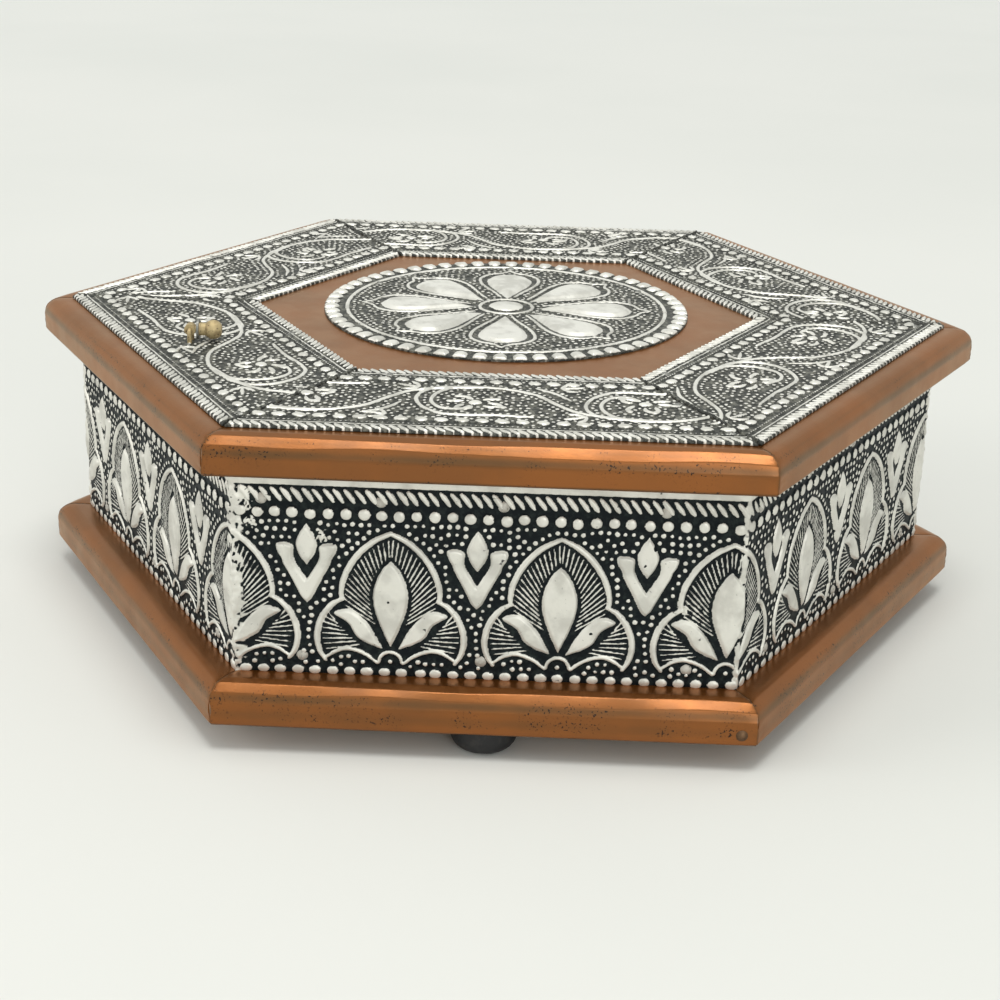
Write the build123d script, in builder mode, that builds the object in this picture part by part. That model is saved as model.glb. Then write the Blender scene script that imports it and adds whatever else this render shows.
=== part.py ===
from build123d import *
from math import cos, radians, sin, tan
import os

os.makedirs("parts", exist_ok=True)

# Hexagonal trinket box, millimetres, Z up. The origin is on the floor under the middle of the box.
# The flats face +Y and -Y, the corners lie on +X and -X. The lid opens at the front, -Y,
# and its hinges are on the back, +Y.
SIDES = {
    "front": -90,
    "front_right": -30,
    "back_right": 30,
    "back": 90,
    "back_left": 150,
    "front_left": 210,
}
HALF_CORNER = 30

# Heights above the floor
FOOT_H = 6.0
PLINTH_H = 9.5
BODY_H = 46.0
LID_H = 8.5
plinth_top = FOOT_H + PLINTH_H
body_top = plinth_top + BODY_H
lid_top = body_top + LID_H

# Distances from the middle to the flats
EDGE_R = 99.0
WALL_R = 90.6
WALL_T = 8.0
BAND_OUT_R = 92.7
BAND_IN_R = 53.0

# Sheet metal, and the shape that the copper is folded over
COPPER_T = 0.4
TIN_T = 0.4
ROUND_TOP = 4.0
ROUND_LOW = 0.8
TURNED_IN_R = 93.6
TOP_FOLD_R = 88.0
SEAM_GAP = 0.16

# Cloth linings
LINING_T = 1.0
FLOOR_CLOTH_T = 1.5
LID_CLOTH_T = 0.6
LID_CLOTH_GAP = 1.3
LINING_DROP = 1.0

# Medallion, nailed on a little off the middle
MEDALLION_R = 44.6
MEDALLION_AT = (-2.2, 1.2)
MEDALLION_RIM_W = 4.2
MEDALLION_RAISE = 0.4
MEDALLION_LIP = 0.4
BOSS_R = 5.4
PETALS = 8
PETAL_IN_R, PETAL_WIDE_R, PETAL_OUT_R, PETAL_HALF_W = 7.5, 23.5, 31.0, 5.8
PETAL_TURN = -30

# Relief of the tin round the walls: palmettes and tulips in turn.
# Each line is an arc through three points, from the middle of the motif's foot, right half only.
RELIEF_H = 0.5
MOTIF_PITCHES = 18
MOTIF_SHIFT = -2.2
MOTIF_FOOT_Z = 18.7
ARCH = ((0, 29.2), (6.9, 24.0), (10.0, 14.2))
LOBE = ((9.8, 14.4), (14.9, 8.0), (13.5, 0.2))
ARCH_W = 1.2
TALL_LEAF_FOOT = ((0, 3.4), (2.4, 9.0), (3.85, 15.6))
TALL_LEAF_TIP = ((3.85, 15.6), (2.8, 19.2), (0, 23.1))
SIDE_LEAF_UPPER = ((1.6, 3.0), (5.8, 10.0), (11.8, 10.9))
SIDE_LEAF_LOWER = ((11.8, 10.9), (7.6, 6.1), (1.6, 3.0))
LOZENGE = ((0, 21.4), (2.0, 25.6), (0, 29.8))
TULIP_ARM = ((0, 15.0), (4.3, 23.9))
TULIP_ARM_W = 2.3

# Feet
FOOT_SIDES = ("front_right", "back", "front_left")
FOOT_R = 7.2
FOOT_ROUND = 3.2
FOOT_AT_R = 90.6

# Nails
NAIL_HEAD_R = 1.25
NAIL_HEAD_H = 0.5
NAIL_SHANK_R = 0.45
NAIL_LEN = 5.5
NAIL_POINT = 1.0
NAIL_CLEAR = 0.4
MEDALLION_NAILS = 6
MEDALLION_NAIL_R = 38.6

# Nails of the tin round the walls: a high row under the lid and a low row over the plinth, as set by hand
HIGH_NAILS = (-46.5, -22.0, 3.0, 36.0)
LOW_NAILS = (-38.5, -1.0, 42.0)
HIGH_NAIL_Z = 54.4
LOW_NAIL_Z = 19.4

# Nails of the lid strips: places along the strip and in from its outer edge
STRIP_NAILS = (
    (-27.5, 1.9),
    (3.2, 1.9),
    (30.0, 2.9),
    (-23.4, 36.9),
    (-1.2, 37.1),
    (38.4, 22.7),
    (48.0, 5.9),
)

# Small nails that hold the ends of the plinth's copper
PLINTH_NAIL_SIDES = ("front_right", "back_left", "front_left")
PLINTH_NAIL_Z = FOOT_H + 2.6
PLINTH_NAIL_IN = 3.4

# Hinges
HINGE_X = 30.0
LEAF_HALF_W = 13.0
LEAF_T = 1.1
KNUCKLE_R = 1.9
PIN_R = 1.0
PIN_PLAY = 0.05
KNUCKLE_HALF_W = 4.1
KNUCKLE_GAP = 0.2
BODY_LEAF_DROP = 15.0
LID_LEAF_REACH = 9.0
LEAF_PLAY = 0.15
LEAF_GAP = 0.1
NOTCH_PLAY = 0.3
RELIEF_CLEAR = 0.6
SCREW_R = 1.1
SCREW_HEAD_R = 2.0
SCREW_LEN = 6.0
SCREW_POINT = 1.5
SCREW_SLOT = 0.5
SCREW_X = 8.6
BODY_SCREW_DROP = 7.0
LID_SCREW_BACK = 5.1

# Pull on the lid: a small turned knob whose eye turns on the bar of a wire staple
PULL_AT = (-4.4, -79.2)
PULL_HEADING = 61.5
BAR_H = 3.0
BAR_R = 0.5
BAR_HALF = 1.7
STAPLE_DEPTH = 7.0
STAPLE_BEND_R = 0.7
EYE_R = 1.3
EYE_HALF_T = 1.0
STEM_R = 0.8
WASHER_AT, WASHER_R, WASHER_T = 1.6, 2.3, 0.5
NECK_R = 1.5
HEAD_AT, HEAD_R = 5.2, 2.2
HEAD_FLAT = 0.35

# Play between parts that are fitted into each other
FIT = 0.1
SHEET_FIT = 0.05

skin_r = WALL_R + TIN_T
tin_top = lid_top + TIN_T
side_half = skin_r * tan(radians(HALF_CORNER))
hinge_axis = (skin_r + LEAF_GAP + KNUCKLE_R, body_top - 2 * LEAF_GAP - KNUCKLE_R)


def corner_r(flat_r):
    """Distance from the middle to a corner of the hexagon whose flats are flat_r from the middle."""
    return flat_r / cos(radians(HALF_CORNER))


def outward(angle):
    return Vector(cos(radians(angle)), sin(radians(angle)), 0)


def section_plane(angle):
    """A cut through one side: x runs outward from the middle, y runs up."""
    return Plane(origin=(0, 0, 0), x_dir=outward(angle), z_dir=outward(angle - 90))


def face_plane(angle, flat_r):
    """The upright face of one side: x runs along the side, y runs up, z points outward."""
    return Plane(origin=outward(angle) * flat_r, x_dir=outward(angle + 90), z_dir=outward(angle))


def mitre(angle, flat_r):
    """Extrudes the open sketch of one side along it and cuts both ends at the corners."""
    extrude(amount=corner_r(flat_r), both=True)
    for turn in (HALF_CORNER, -HALF_CORNER):
        away = outward(angle + turn + (90 if turn > 0 else -90))
        split(bisect_by=Plane(origin=away * (-SEAM_GAP / 2), z_dir=away), keep=Keep.BOTTOM)


def edge_outline(low, high, start_r, inset):
    """Outline of a rounded board edge, or of the same edge smaller by inset."""
    out_r = EDGE_R - inset
    top_z, low_z = high - inset, low + inset
    top_round, low_round = ROUND_TOP - inset, ROUND_LOW - inset
    with BuildLine() as outline:
        Line((start_r, low_z), (start_r, top_z))
        Line((start_r, top_z), (out_r - top_round, top_z))
        RadiusArc((out_r - top_round, top_z), (out_r, top_z - top_round), top_round)
        Line((out_r, top_z - top_round), (out_r, low_z + low_round))
        RadiusArc((out_r, low_z + low_round), (out_r - low_round, low_z), low_round)
        Line((out_r - low_round, low_z), (start_r, low_z))
    return outline.edges()


def keep(builder, name):
    builder.part.label = name
    export_step(builder.part, f"parts/{name}.step")


def hexagon(flat_r, mode=Mode.ADD):
    RegularPolygon(flat_r, 6, major_radius=False, mode=mode)


def make_board(low, high):
    """A wooden board with a rounded edge and a shallow rebate below for the folded copper."""
    with BuildPart() as board:
        with BuildSketch(Plane.XY.offset(low + COPPER_T)):
            hexagon(EDGE_R - COPPER_T)
        extrude(amount=high - low - 2 * COPPER_T)
        fillet(board.edges().group_by(Axis.Z)[-1], ROUND_TOP - COPPER_T)
        fillet(board.edges().group_by(Axis.Z)[0], ROUND_LOW - COPPER_T)
        with BuildSketch(Plane.XY.offset(low)):
            hexagon(TURNED_IN_R - FIT)
        extrude(amount=COPPER_T)
    return board


def make_trim(name, angle, low, high, top_in_r):
    """A copper strip folded over a board's edge along one side, mitred at both corners."""
    with BuildPart() as trim:
        with BuildSketch(section_plane(angle)):
            make_face(edge_outline(low, high, top_in_r, 0))
            make_face(edge_outline(low, high, top_in_r, COPPER_T), mode=Mode.SUBTRACT)
            with BuildLine():
                Polyline(
                    (top_in_r, low),
                    (TURNED_IN_R, low),
                    (TURNED_IN_R, low + COPPER_T),
                    (TURNED_IN_R, high - COPPER_T),
                    (top_in_r, high - COPPER_T),
                    close=True,
                )
            make_face(mode=Mode.SUBTRACT)
        mitre(angle, EDGE_R)
    keep(trim, name)


def make_strip(name, angle, in_r, out_r, low, high):
    """A flat strip or wall along one side, mitred at both corners."""
    with BuildPart() as strip:
        with BuildSketch(section_plane(angle)):
            with Locations(((in_r + out_r) / 2, (low + high) / 2)):
                Rectangle(out_r - in_r, high - low)
        mitre(angle, out_r)
    keep(strip, name)


# a nail that stands on the floor of its plane, head up, shank below
nail_dome_r = (NAIL_HEAD_R**2 + NAIL_HEAD_H**2) / (2 * NAIL_HEAD_H)
with BuildPart() as nail:
    with BuildSketch(Plane.XZ):
        with BuildLine():
            Line((0, NAIL_HEAD_H), (0, -NAIL_LEN))
            Line((0, -NAIL_LEN), (NAIL_SHANK_R, NAIL_POINT - NAIL_LEN))
            Line((NAIL_SHANK_R, NAIL_POINT - NAIL_LEN), (NAIL_SHANK_R, 0))
            Line((NAIL_SHANK_R, 0), (NAIL_HEAD_R, 0))
            RadiusArc((NAIL_HEAD_R, 0), (0, NAIL_HEAD_H), -nail_dome_r)
        make_face()
    revolve(axis=Axis.Z)


def make_nails(name, places):
    """A group of like nails, one at each plane, standing along the plane's z."""
    with BuildPart() as nails:
        with Locations(*[Location(place) for place in places]):
            add(nail.part)
    keep(nails, name)


# Base: the floor board, its copper edging and the feet
base_board = make_board(FOOT_H, plinth_top)
keep(base_board, "base_board")

for side, angle in SIDES.items():
    make_trim(f"plinth_trim_{side}", angle, FOOT_H, plinth_top, skin_r + FIT)

for side in FOOT_SIDES:
    foot_plane = section_plane(SIDES[side])
    foot_middle = outward(SIDES[side]) * FOOT_AT_R
    with BuildPart() as foot:
        with BuildSketch(Plane(origin=foot_middle, x_dir=foot_plane.x_dir, z_dir=foot_plane.z_dir)):
            with BuildLine():
                Line((0, FOOT_H), (0, 0))
                Line((0, 0), (FOOT_R - FOOT_ROUND, 0))
                RadiusArc((FOOT_R - FOOT_ROUND, 0), (FOOT_R, FOOT_ROUND), -FOOT_ROUND)
                Line((FOOT_R, FOOT_ROUND), (FOOT_R, FOOT_H))
                Line((FOOT_R, FOOT_H), (0, FOOT_H))
            make_face()
        revolve(axis=Axis((foot_middle.X, foot_middle.Y, 0), (0, 0, 1)))
    keep(foot, f"foot_{side}")

# Walls: six mitred boards that stand on the base inside its copper edging
wall_foot = plinth_top - COPPER_T
notch_low = body_top - LEAF_T - LEAF_GAP
notch_w = 2 * (LEAF_HALF_W + NOTCH_PLAY)
for side, angle in SIDES.items():
    if side != "back":
        make_strip(f"wall_{side}", angle, WALL_R - WALL_T, WALL_R, wall_foot, body_top)

# Notches in the top edge of the back wall and its tin, for the lid's hinge leaves
with BuildSketch(Plane.XY.offset(notch_low)) as notches:
    with Locations((HINGE_X, WALL_R), (-HINGE_X, WALL_R)):
        Rectangle(notch_w, 3 * WALL_T)

with BuildPart() as wall_back:
    with BuildSketch(section_plane(SIDES["back"])):
        with Locations((WALL_R - WALL_T / 2, (wall_foot + body_top) / 2)):
            Rectangle(WALL_T, body_top - wall_foot)
    mitre(SIDES["back"], WALL_R)
    extrude(notches.sketch, amount=2 * LEAF_T, mode=Mode.SUBTRACT)
keep(wall_back, "wall_back")

# The palmette: three leaves under a pointed arch that widens into two lobes
with BuildSketch() as palmette:
    for stroke in (ARCH, LOBE):
        with BuildLine():
            ThreePointArc(*stroke)
        trace(line_width=ARCH_W)
    with BuildLine():
        ThreePointArc(*TALL_LEAF_FOOT)
        ThreePointArc(*TALL_LEAF_TIP)
        Line(TALL_LEAF_TIP[-1], TALL_LEAF_FOOT[0])
    make_face()
    with BuildLine():
        ThreePointArc(*SIDE_LEAF_UPPER)
        ThreePointArc(*SIDE_LEAF_LOWER)
    make_face()
    mirror(about=Plane.YZ)

# The tulip: a lozenge over two arms
with BuildSketch() as tulip:
    with BuildLine():
        ThreePointArc(*LOZENGE)
        Line(LOZENGE[-1], LOZENGE[0])
    make_face()
    with BuildLine():
        Line(*TULIP_ARM)
    trace(line_width=TULIP_ARM_W)
    with Locations(TULIP_ARM[1]):
        Circle(TULIP_ARM_W / 2)
    mirror(about=Plane.YZ)

motif_pitch = 6 * 2 * side_half / MOTIF_PITCHES


def side_relief(side, angle):
    """The raised motifs of one side, cut at the corners and kept off the nails and hinges."""
    with BuildPart() as relief:
        with BuildSketch(face_plane(angle, skin_r)):
            for step in range(-2, 3):
                with Locations((MOTIF_SHIFT + (step + 0.5) * motif_pitch, MOTIF_FOOT_Z)):
                    add(palmette.sketch)
                with Locations((MOTIF_SHIFT + step * motif_pitch, MOTIF_FOOT_Z)):
                    add(tulip.sketch)
            nail_spots = [(x, HIGH_NAIL_Z) for x in HIGH_NAILS] + [(x, LOW_NAIL_Z) for x in LOW_NAILS]
            with Locations(*nail_spots):
                Circle(NAIL_HEAD_R + NAIL_CLEAR, mode=Mode.SUBTRACT)
            if side == "back":
                leaf_foot = hinge_axis[1] - BODY_LEAF_DROP - RELIEF_CLEAR
                with Locations((HINGE_X, leaf_foot), (-HINGE_X, leaf_foot)):
                    Rectangle(
                        2 * (LEAF_HALF_W + RELIEF_CLEAR),
                        BODY_H,
                        align=(Align.CENTER, Align.MIN),
                        mode=Mode.SUBTRACT,
                    )
        extrude(amount=RELIEF_H)
        for turn in (HALF_CORNER, -HALF_CORNER):
            away = outward(angle + turn + (90 if turn > 0 else -90))
            split(bisect_by=Plane(origin=(0, 0, 0), z_dir=away), keep=Keep.BOTTOM)
    return relief.part


# Embossed tin band round the walls, notched above the hinges
with BuildPart() as side_band:
    with BuildSketch(Plane.XY.offset(wall_foot)):
        hexagon(skin_r)
        hexagon(WALL_R, mode=Mode.SUBTRACT)
    extrude(amount=body_top - wall_foot)
    for side, angle in SIDES.items():
        add(side_relief(side, angle))
    extrude(notches.sketch, amount=2 * LEAF_T, mode=Mode.SUBTRACT)
keep(side_band, "side_band")

side_nail_places = []
for side, angle in SIDES.items():
    face = face_plane(angle, skin_r)
    for row_z, row in ((HIGH_NAIL_Z, HIGH_NAILS), (LOW_NAIL_Z, LOW_NAILS)):
        for along in row:
            off_leaf = abs(abs(along) - HINGE_X) - LEAF_HALF_W
            if side != "back" or row_z != HIGH_NAIL_Z or off_leaf > SCREW_HEAD_R:
                spot = face.from_local_coords((along, row_z, 0))
                side_nail_places.append(Plane(origin=spot, z_dir=face.z_dir))
make_nails("side_band_nails", side_nail_places)

plinth_nail_places = []
for side in PLINTH_NAIL_SIDES:
    face = face_plane(SIDES[side], EDGE_R)
    along = EDGE_R * tan(radians(HALF_CORNER)) - PLINTH_NAIL_IN
    spot = face.from_local_coords((along, PLINTH_NAIL_Z, 0))
    plinth_nail_places.append(Plane(origin=spot, z_dir=face.z_dir))
make_nails("plinth_nails", plinth_nail_places)

# Cloth inside the box
lining_r = WALL_R - WALL_T
with BuildPart() as floor_lining:
    with BuildSketch(Plane.XY.offset(wall_foot)):
        hexagon(lining_r - LINING_T)
    extrude(amount=FLOOR_CLOTH_T)
keep(floor_lining, "floor_lining")

with BuildPart() as wall_lining:
    with BuildSketch(Plane.XY.offset(wall_foot)):
        hexagon(lining_r)
        hexagon(lining_r - LINING_T, mode=Mode.SUBTRACT)
    extrude(amount=notch_low - LINING_DROP - wall_foot)
keep(wall_lining, "wall_lining")

# Lid: the board, its copper edging, the copper sheet on top and the cloth below
lid_board = make_board(body_top, lid_top)
keep(lid_board, "lid_board")

for side, angle in SIDES.items():
    make_trim(f"lid_trim_{side}", angle, body_top, lid_top, TOP_FOLD_R)

with BuildPart() as lid_sheet:
    with BuildSketch(Plane.XY.offset(lid_top - COPPER_T)):
        hexagon(TOP_FOLD_R - SHEET_FIT)
    extrude(amount=COPPER_T)
keep(lid_sheet, "lid_sheet")

with BuildPart() as lid_lining:
    with BuildSketch(Plane.XY.offset(body_top - LID_CLOTH_T)):
        hexagon(lining_r - LINING_T - LID_CLOTH_GAP)
    extrude(amount=LID_CLOTH_T)
keep(lid_lining, "lid_lining")

# Embossed tin on the lid: six mitred strips and the round medallion
for side, angle in SIDES.items():
    make_strip(f"lid_band_{side}", angle, BAND_IN_R, BAND_OUT_R, lid_top, tin_top)

with BuildSketch() as petal:
    with BuildLine():
        Spline((PETAL_IN_R, 0), (PETAL_WIDE_R, PETAL_HALF_W), (PETAL_OUT_R, 0))
        Spline((PETAL_OUT_R, 0), (PETAL_WIDE_R, -PETAL_HALF_W), (PETAL_IN_R, 0))
    make_face()

with BuildPart() as medallion:
    with BuildSketch(Plane.XY.offset(lid_top)):
        with Locations(MEDALLION_AT):
            Circle(MEDALLION_R)
    extrude(amount=TIN_T)
    with BuildSketch(Plane.XY.offset(tin_top)):
        with Locations(MEDALLION_AT):
            Circle(MEDALLION_R - MEDALLION_LIP)
            Circle(MEDALLION_R - MEDALLION_RIM_W, mode=Mode.SUBTRACT)
            Circle(BOSS_R)
            with PolarLocations(0, PETALS, start_angle=PETAL_TURN):
                add(petal.sketch)
    extrude(amount=MEDALLION_RAISE)
keep(medallion, "medallion")

medallion_nail_places = []
for turn in range(MEDALLION_NAILS):
    spot = outward(PETAL_TURN + turn * 360 / MEDALLION_NAILS) * MEDALLION_NAIL_R
    spot_at = (MEDALLION_AT[0] + spot.X, MEDALLION_AT[1] + spot.Y, tin_top)
    medallion_nail_places.append(Plane(origin=spot_at, z_dir=(0, 0, 1)))
make_nails("medallion_nails", medallion_nail_places)

lid_nail_places = []
for angle in SIDES.values():
    for along, inward in STRIP_NAILS:
        spot = outward(angle) * (BAND_OUT_R - inward) + outward(angle + 90) * along
        lid_nail_places.append(Plane(origin=(spot.X, spot.Y, tin_top), z_dir=(0, 0, 1)))
make_nails("lid_band_nails", lid_nail_places)

# Hinges: on each, a body leaf on the back wall, a lid leaf under the lid, a pin and four screws
axis_y, axis_z = hinge_axis
body_screw_z = axis_z - KNUCKLE_R - BODY_SCREW_DROP
lid_screw_y = WALL_R - LID_SCREW_BACK


def knuckle(x_low, x_high, bore_r):
    """One tube of a hinge, round the hinge line."""
    with Locations(Location(Plane(origin=((x_low + x_high) / 2, axis_y, axis_z), z_dir=(1, 0, 0)))):
        Cylinder(KNUCKLE_R, x_high - x_low)
        Cylinder(bore_r, x_high - x_low, mode=Mode.SUBTRACT)


def slab(low, high):
    """A plain plate between two corners."""
    size = [high[axis] - low[axis] for axis in range(3)]
    with Locations(tuple((low[axis] + high[axis]) / 2 for axis in range(3))):
        Box(*size)


screw_places = {"hinge_body_screws": [], "hinge_lid_screws": []}
for name, middle in (("left", -HINGE_X), ("right", HINGE_X)):
    tube_in = KNUCKLE_HALF_W + KNUCKLE_GAP
    leaf_low, leaf_high = middle - LEAF_HALF_W, middle + LEAF_HALF_W
    plate_top = axis_z - KNUCKLE_R - LEAF_PLAY
    with BuildPart() as body_leaf:
        slab((leaf_low, skin_r, axis_z - BODY_LEAF_DROP), (leaf_high, skin_r + LEAF_T, plate_top))
        for tube_low, tube_high in ((leaf_low, middle - tube_in), (middle + tube_in, leaf_high)):
            slab((tube_low, skin_r, plate_top), (tube_high, skin_r + LEAF_T, axis_z))
            knuckle(tube_low, tube_high, PIN_R)
        for side_x in (-SCREW_X, SCREW_X):
            spot = Plane(origin=(middle + side_x, skin_r + LEAF_T, body_screw_z), z_dir=(0, 1, 0))
            with Locations(Location(spot)):
                CounterSinkHole(SCREW_R + PIN_PLAY, SCREW_HEAD_R + PIN_PLAY, depth=LEAF_T)
            screw_places["hinge_body_screws"].append(spot)
    keep(body_leaf, f"hinge_leaf_body_{name}")

    with BuildPart() as lid_leaf:
        slab((leaf_low, WALL_R - LID_LEAF_REACH, body_top - LEAF_T), (leaf_high, skin_r, body_top))
        tube_low, tube_high = middle - KNUCKLE_HALF_W, middle + KNUCKLE_HALF_W
        slab((tube_low, skin_r, body_top - LEAF_T), (tube_high, axis_y, body_top))
        knuckle(tube_low, tube_high, PIN_R + PIN_PLAY)
        for side_x in (-SCREW_X, SCREW_X):
            spot = Plane(origin=(middle + side_x, lid_screw_y, body_top - LEAF_T), z_dir=(0, 0, -1))
            with Locations(Location(spot)):
                CounterSinkHole(SCREW_R + PIN_PLAY, SCREW_HEAD_R + PIN_PLAY, depth=LEAF_T)
            screw_places["hinge_lid_screws"].append(spot)
    keep(lid_leaf, f"hinge_leaf_lid_{name}")

    with BuildPart() as hinge_pin:
        with BuildSketch(Plane(origin=(leaf_low, axis_y, axis_z), z_dir=(1, 0, 0))):
            Circle(PIN_R)
        extrude(amount=2 * LEAF_HALF_W)
    keep(hinge_pin, f"hinge_pin_{name}")

with BuildPart() as screw:
    with BuildSketch(Plane.XZ):
        with BuildLine():
            Polyline(
                (0, 0),
                (SCREW_HEAD_R, 0),
                (SCREW_R, SCREW_R - SCREW_HEAD_R),
                (SCREW_R, SCREW_POINT - SCREW_LEN),
                (0, -SCREW_LEN),
                close=True,
            )
        make_face()
    revolve(axis=Axis.Z)
    # driver slot
    with BuildSketch(Plane.XY):
        Rectangle(2 * SCREW_HEAD_R, SCREW_SLOT)
    extrude(amount=-SCREW_SLOT, mode=Mode.SUBTRACT)

for group, places in screw_places.items():
    with BuildPart() as screws:
        with Locations(*[Location(place) for place in places]):
            add(screw.part)
    keep(screws, group)

# Pull: the staple stands in the lid, and the knob's eye turns on its bar
bar_z = tin_top + BAR_H
pull_front = outward(PULL_HEADING)
pull_across = outward(PULL_HEADING + 90)
bar_middle = Vector(PULL_AT[0], PULL_AT[1], bar_z)
along_pull = Plane(origin=bar_middle, x_dir=pull_front, z_dir=pull_across * -1)
across_pull = Plane(origin=bar_middle, x_dir=pull_across, z_dir=pull_front)

with BuildPart() as pull_staple:
    with BuildLine(across_pull):
        FilletPolyline(
            (-BAR_HALF, -STAPLE_DEPTH),
            (-BAR_HALF, 0),
            (BAR_HALF, 0),
            (BAR_HALF, -STAPLE_DEPTH),
            radius=STAPLE_BEND_R,
        )
    leg_end = across_pull.from_local_coords((-BAR_HALF, -STAPLE_DEPTH, 0))
    with BuildSketch(Plane(origin=leg_end, z_dir=(0, 0, 1))):
        Circle(BAR_R)
    sweep()
keep(pull_staple, "pull_staple")

with BuildPart() as pull_washer:
    with BuildSketch(across_pull.offset(WASHER_AT)):
        Circle(WASHER_R)
        Circle(STEM_R, mode=Mode.SUBTRACT)
    extrude(amount=WASHER_T)
keep(pull_washer, "pull_washer")

neck_at = WASHER_AT + WASHER_T
with BuildPart() as pull_knob:
    # head, neck and stem, turned in one piece
    with BuildSketch(along_pull):
        with Locations((HEAD_AT, 0)):
            Circle(HEAD_R)
        with Locations(((neck_at + HEAD_AT) / 2, 0)):
            Rectangle(HEAD_AT - neck_at, 2 * NECK_R)
        with Locations((neck_at / 2, 0)):
            Rectangle(neck_at, 2 * STEM_R)
        # the flat front of the head
        with Locations((HEAD_AT + HEAD_R, 0)):
            Rectangle(2 * HEAD_FLAT, 2 * HEAD_R, mode=Mode.SUBTRACT)
        split(bisect_by=Plane.XZ, keep=Keep.TOP)
    revolve(axis=Axis(bar_middle, pull_front))
    # the eye round the bar
    with BuildSketch(along_pull):
        Circle(EYE_R)
    extrude(amount=EYE_HALF_T, both=True)
    with BuildSketch(along_pull):
        Circle(BAR_R + PIN_PLAY)
    extrude(amount=2 * EYE_HALF_T, both=True, mode=Mode.SUBTRACT)
keep(pull_knob, "pull_knob")
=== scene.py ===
# %% [markdown]
# # A six-sided trinket box in copper and embossed tin
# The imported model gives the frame: where each board, strip, hinge and nail sits, and how the lid turns.
# This script dresses that frame. Tin with a punched pattern takes most of the work. The copper, brass,
# wood, cloth and rubber follow. Lengths in the drawing code are millimetres, and each mesh is turned into
# metres as it is made.

# %% Load the fixed frame
from math import cos, pi, radians, sin, tan

import bpy
import numpy as np
from mathutils import Matrix, Vector


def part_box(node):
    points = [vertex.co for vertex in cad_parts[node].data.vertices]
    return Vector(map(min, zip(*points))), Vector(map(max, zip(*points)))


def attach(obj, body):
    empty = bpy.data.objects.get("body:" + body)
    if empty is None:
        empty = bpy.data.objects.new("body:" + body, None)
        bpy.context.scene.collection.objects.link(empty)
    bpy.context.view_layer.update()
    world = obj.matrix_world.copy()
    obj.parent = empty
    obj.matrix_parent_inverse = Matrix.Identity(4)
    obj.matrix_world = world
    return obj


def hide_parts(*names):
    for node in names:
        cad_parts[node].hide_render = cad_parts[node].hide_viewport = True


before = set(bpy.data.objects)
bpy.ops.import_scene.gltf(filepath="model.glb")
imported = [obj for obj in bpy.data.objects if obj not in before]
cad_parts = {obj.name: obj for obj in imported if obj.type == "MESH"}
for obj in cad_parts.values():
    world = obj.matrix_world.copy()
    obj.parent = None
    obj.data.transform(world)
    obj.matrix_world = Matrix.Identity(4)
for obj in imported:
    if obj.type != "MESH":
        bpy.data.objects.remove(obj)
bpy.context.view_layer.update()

# %% [markdown]
# ## Sizes that the frame already knows
# The six sides share one shape, so one angle for each side is enough to place everything on it. The rest is
# read from the frame's own boxes. A value that is read can't drift away from the model that it dresses.

# %% Sides and surfaces
MM = 0.001
SIDES = {
    "front": -90, "front_right": -30, "back_right": 30,
    "back": 90, "back_left": 150, "front_left": 210,
}
HALF_CORNER = radians(30)
UP = np.array([0, 0, 1])


def span(node, axis):
    """Lowest and highest place of a node along one axis, in millimetres."""
    low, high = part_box(node)
    return low[axis] / MM, high[axis] / MM


def on_side(angle, r, t, z):
    """Points of the side at this angle: r out from the middle, t along the side, z up."""
    c, s = np.cos(np.radians(angle)), np.sin(np.radians(angle))
    return np.stack([c * r - s * t, s * r + c * t, z + 0 * r], -1)


# the hinge leaves lie flat on the tin of the walls
WALL_SKIN_R = span("hinge_leaf_body_left", 1)[0]
SIDE_LOW, SIDE_HIGH = span("side_band", 2)
STRIP_OUT_R, STRIP_IN_R = (-v for v in span("lid_band_front", 1))
LID_TIN_Z = span("lid_band_front", 2)[1]
SIDE_LEN = 2 * WALL_SKIN_R * tan(HALF_CORNER)
STRIP_W = STRIP_OUT_R - STRIP_IN_R
print("side length", round(SIDE_LEN, 2), "strip width", round(STRIP_W, 2), "tin top", round(LID_TIN_Z, 2))

# %% [markdown]
# ## Camera
# The photo was taken from a little above the lid, with one side of the box almost square to the lens. A
# camera that is fitted to the corners of the regular hexagon puts every later detail where it belongs, so
# it comes before any detail.

# %% Place the camera
CAMERA_AT = Vector((388.4, -211.3, 192.2)) * MM
CAMERA_TURN, CAMERA_DOWN, CAMERA_ROLL = 61.48, 21.22, 1.58
CAMERA_LENS = 67.0

camera = bpy.data.objects.new("camera", bpy.data.cameras.new("camera"))
bpy.context.scene.collection.objects.link(camera)
camera.data.lens = CAMERA_LENS
camera.data.sensor_width = 36
camera.matrix_world = (
    Matrix.Translation(CAMERA_AT)
    @ Matrix.Rotation(radians(CAMERA_TURN), 4, "Z")
    @ Matrix.Rotation(radians(90 - CAMERA_DOWN), 4, "X")
    @ Matrix.Rotation(radians(CAMERA_ROLL), 4, "Z")
)
bpy.context.scene.camera = camera
print("camera distance in metres:", round(CAMERA_AT.length, 3))

# %% [markdown]
# ## A plate of tin as a grid of cells
# Embossed tin starts flat. A craftsperson pushes lines, domes and leaves up out of it, blackens the whole
# sheet and rubs the high places bright again. The same order works here. A plate holds three values for
# each small cell: how far it is lifted, how bright it was rubbed, and how far it is from the nearest mark.
# The third value is what lets small dots fill the ground without touching a shape.

# %% The plate
CELL = 0.12
FAR = 1e9


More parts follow.
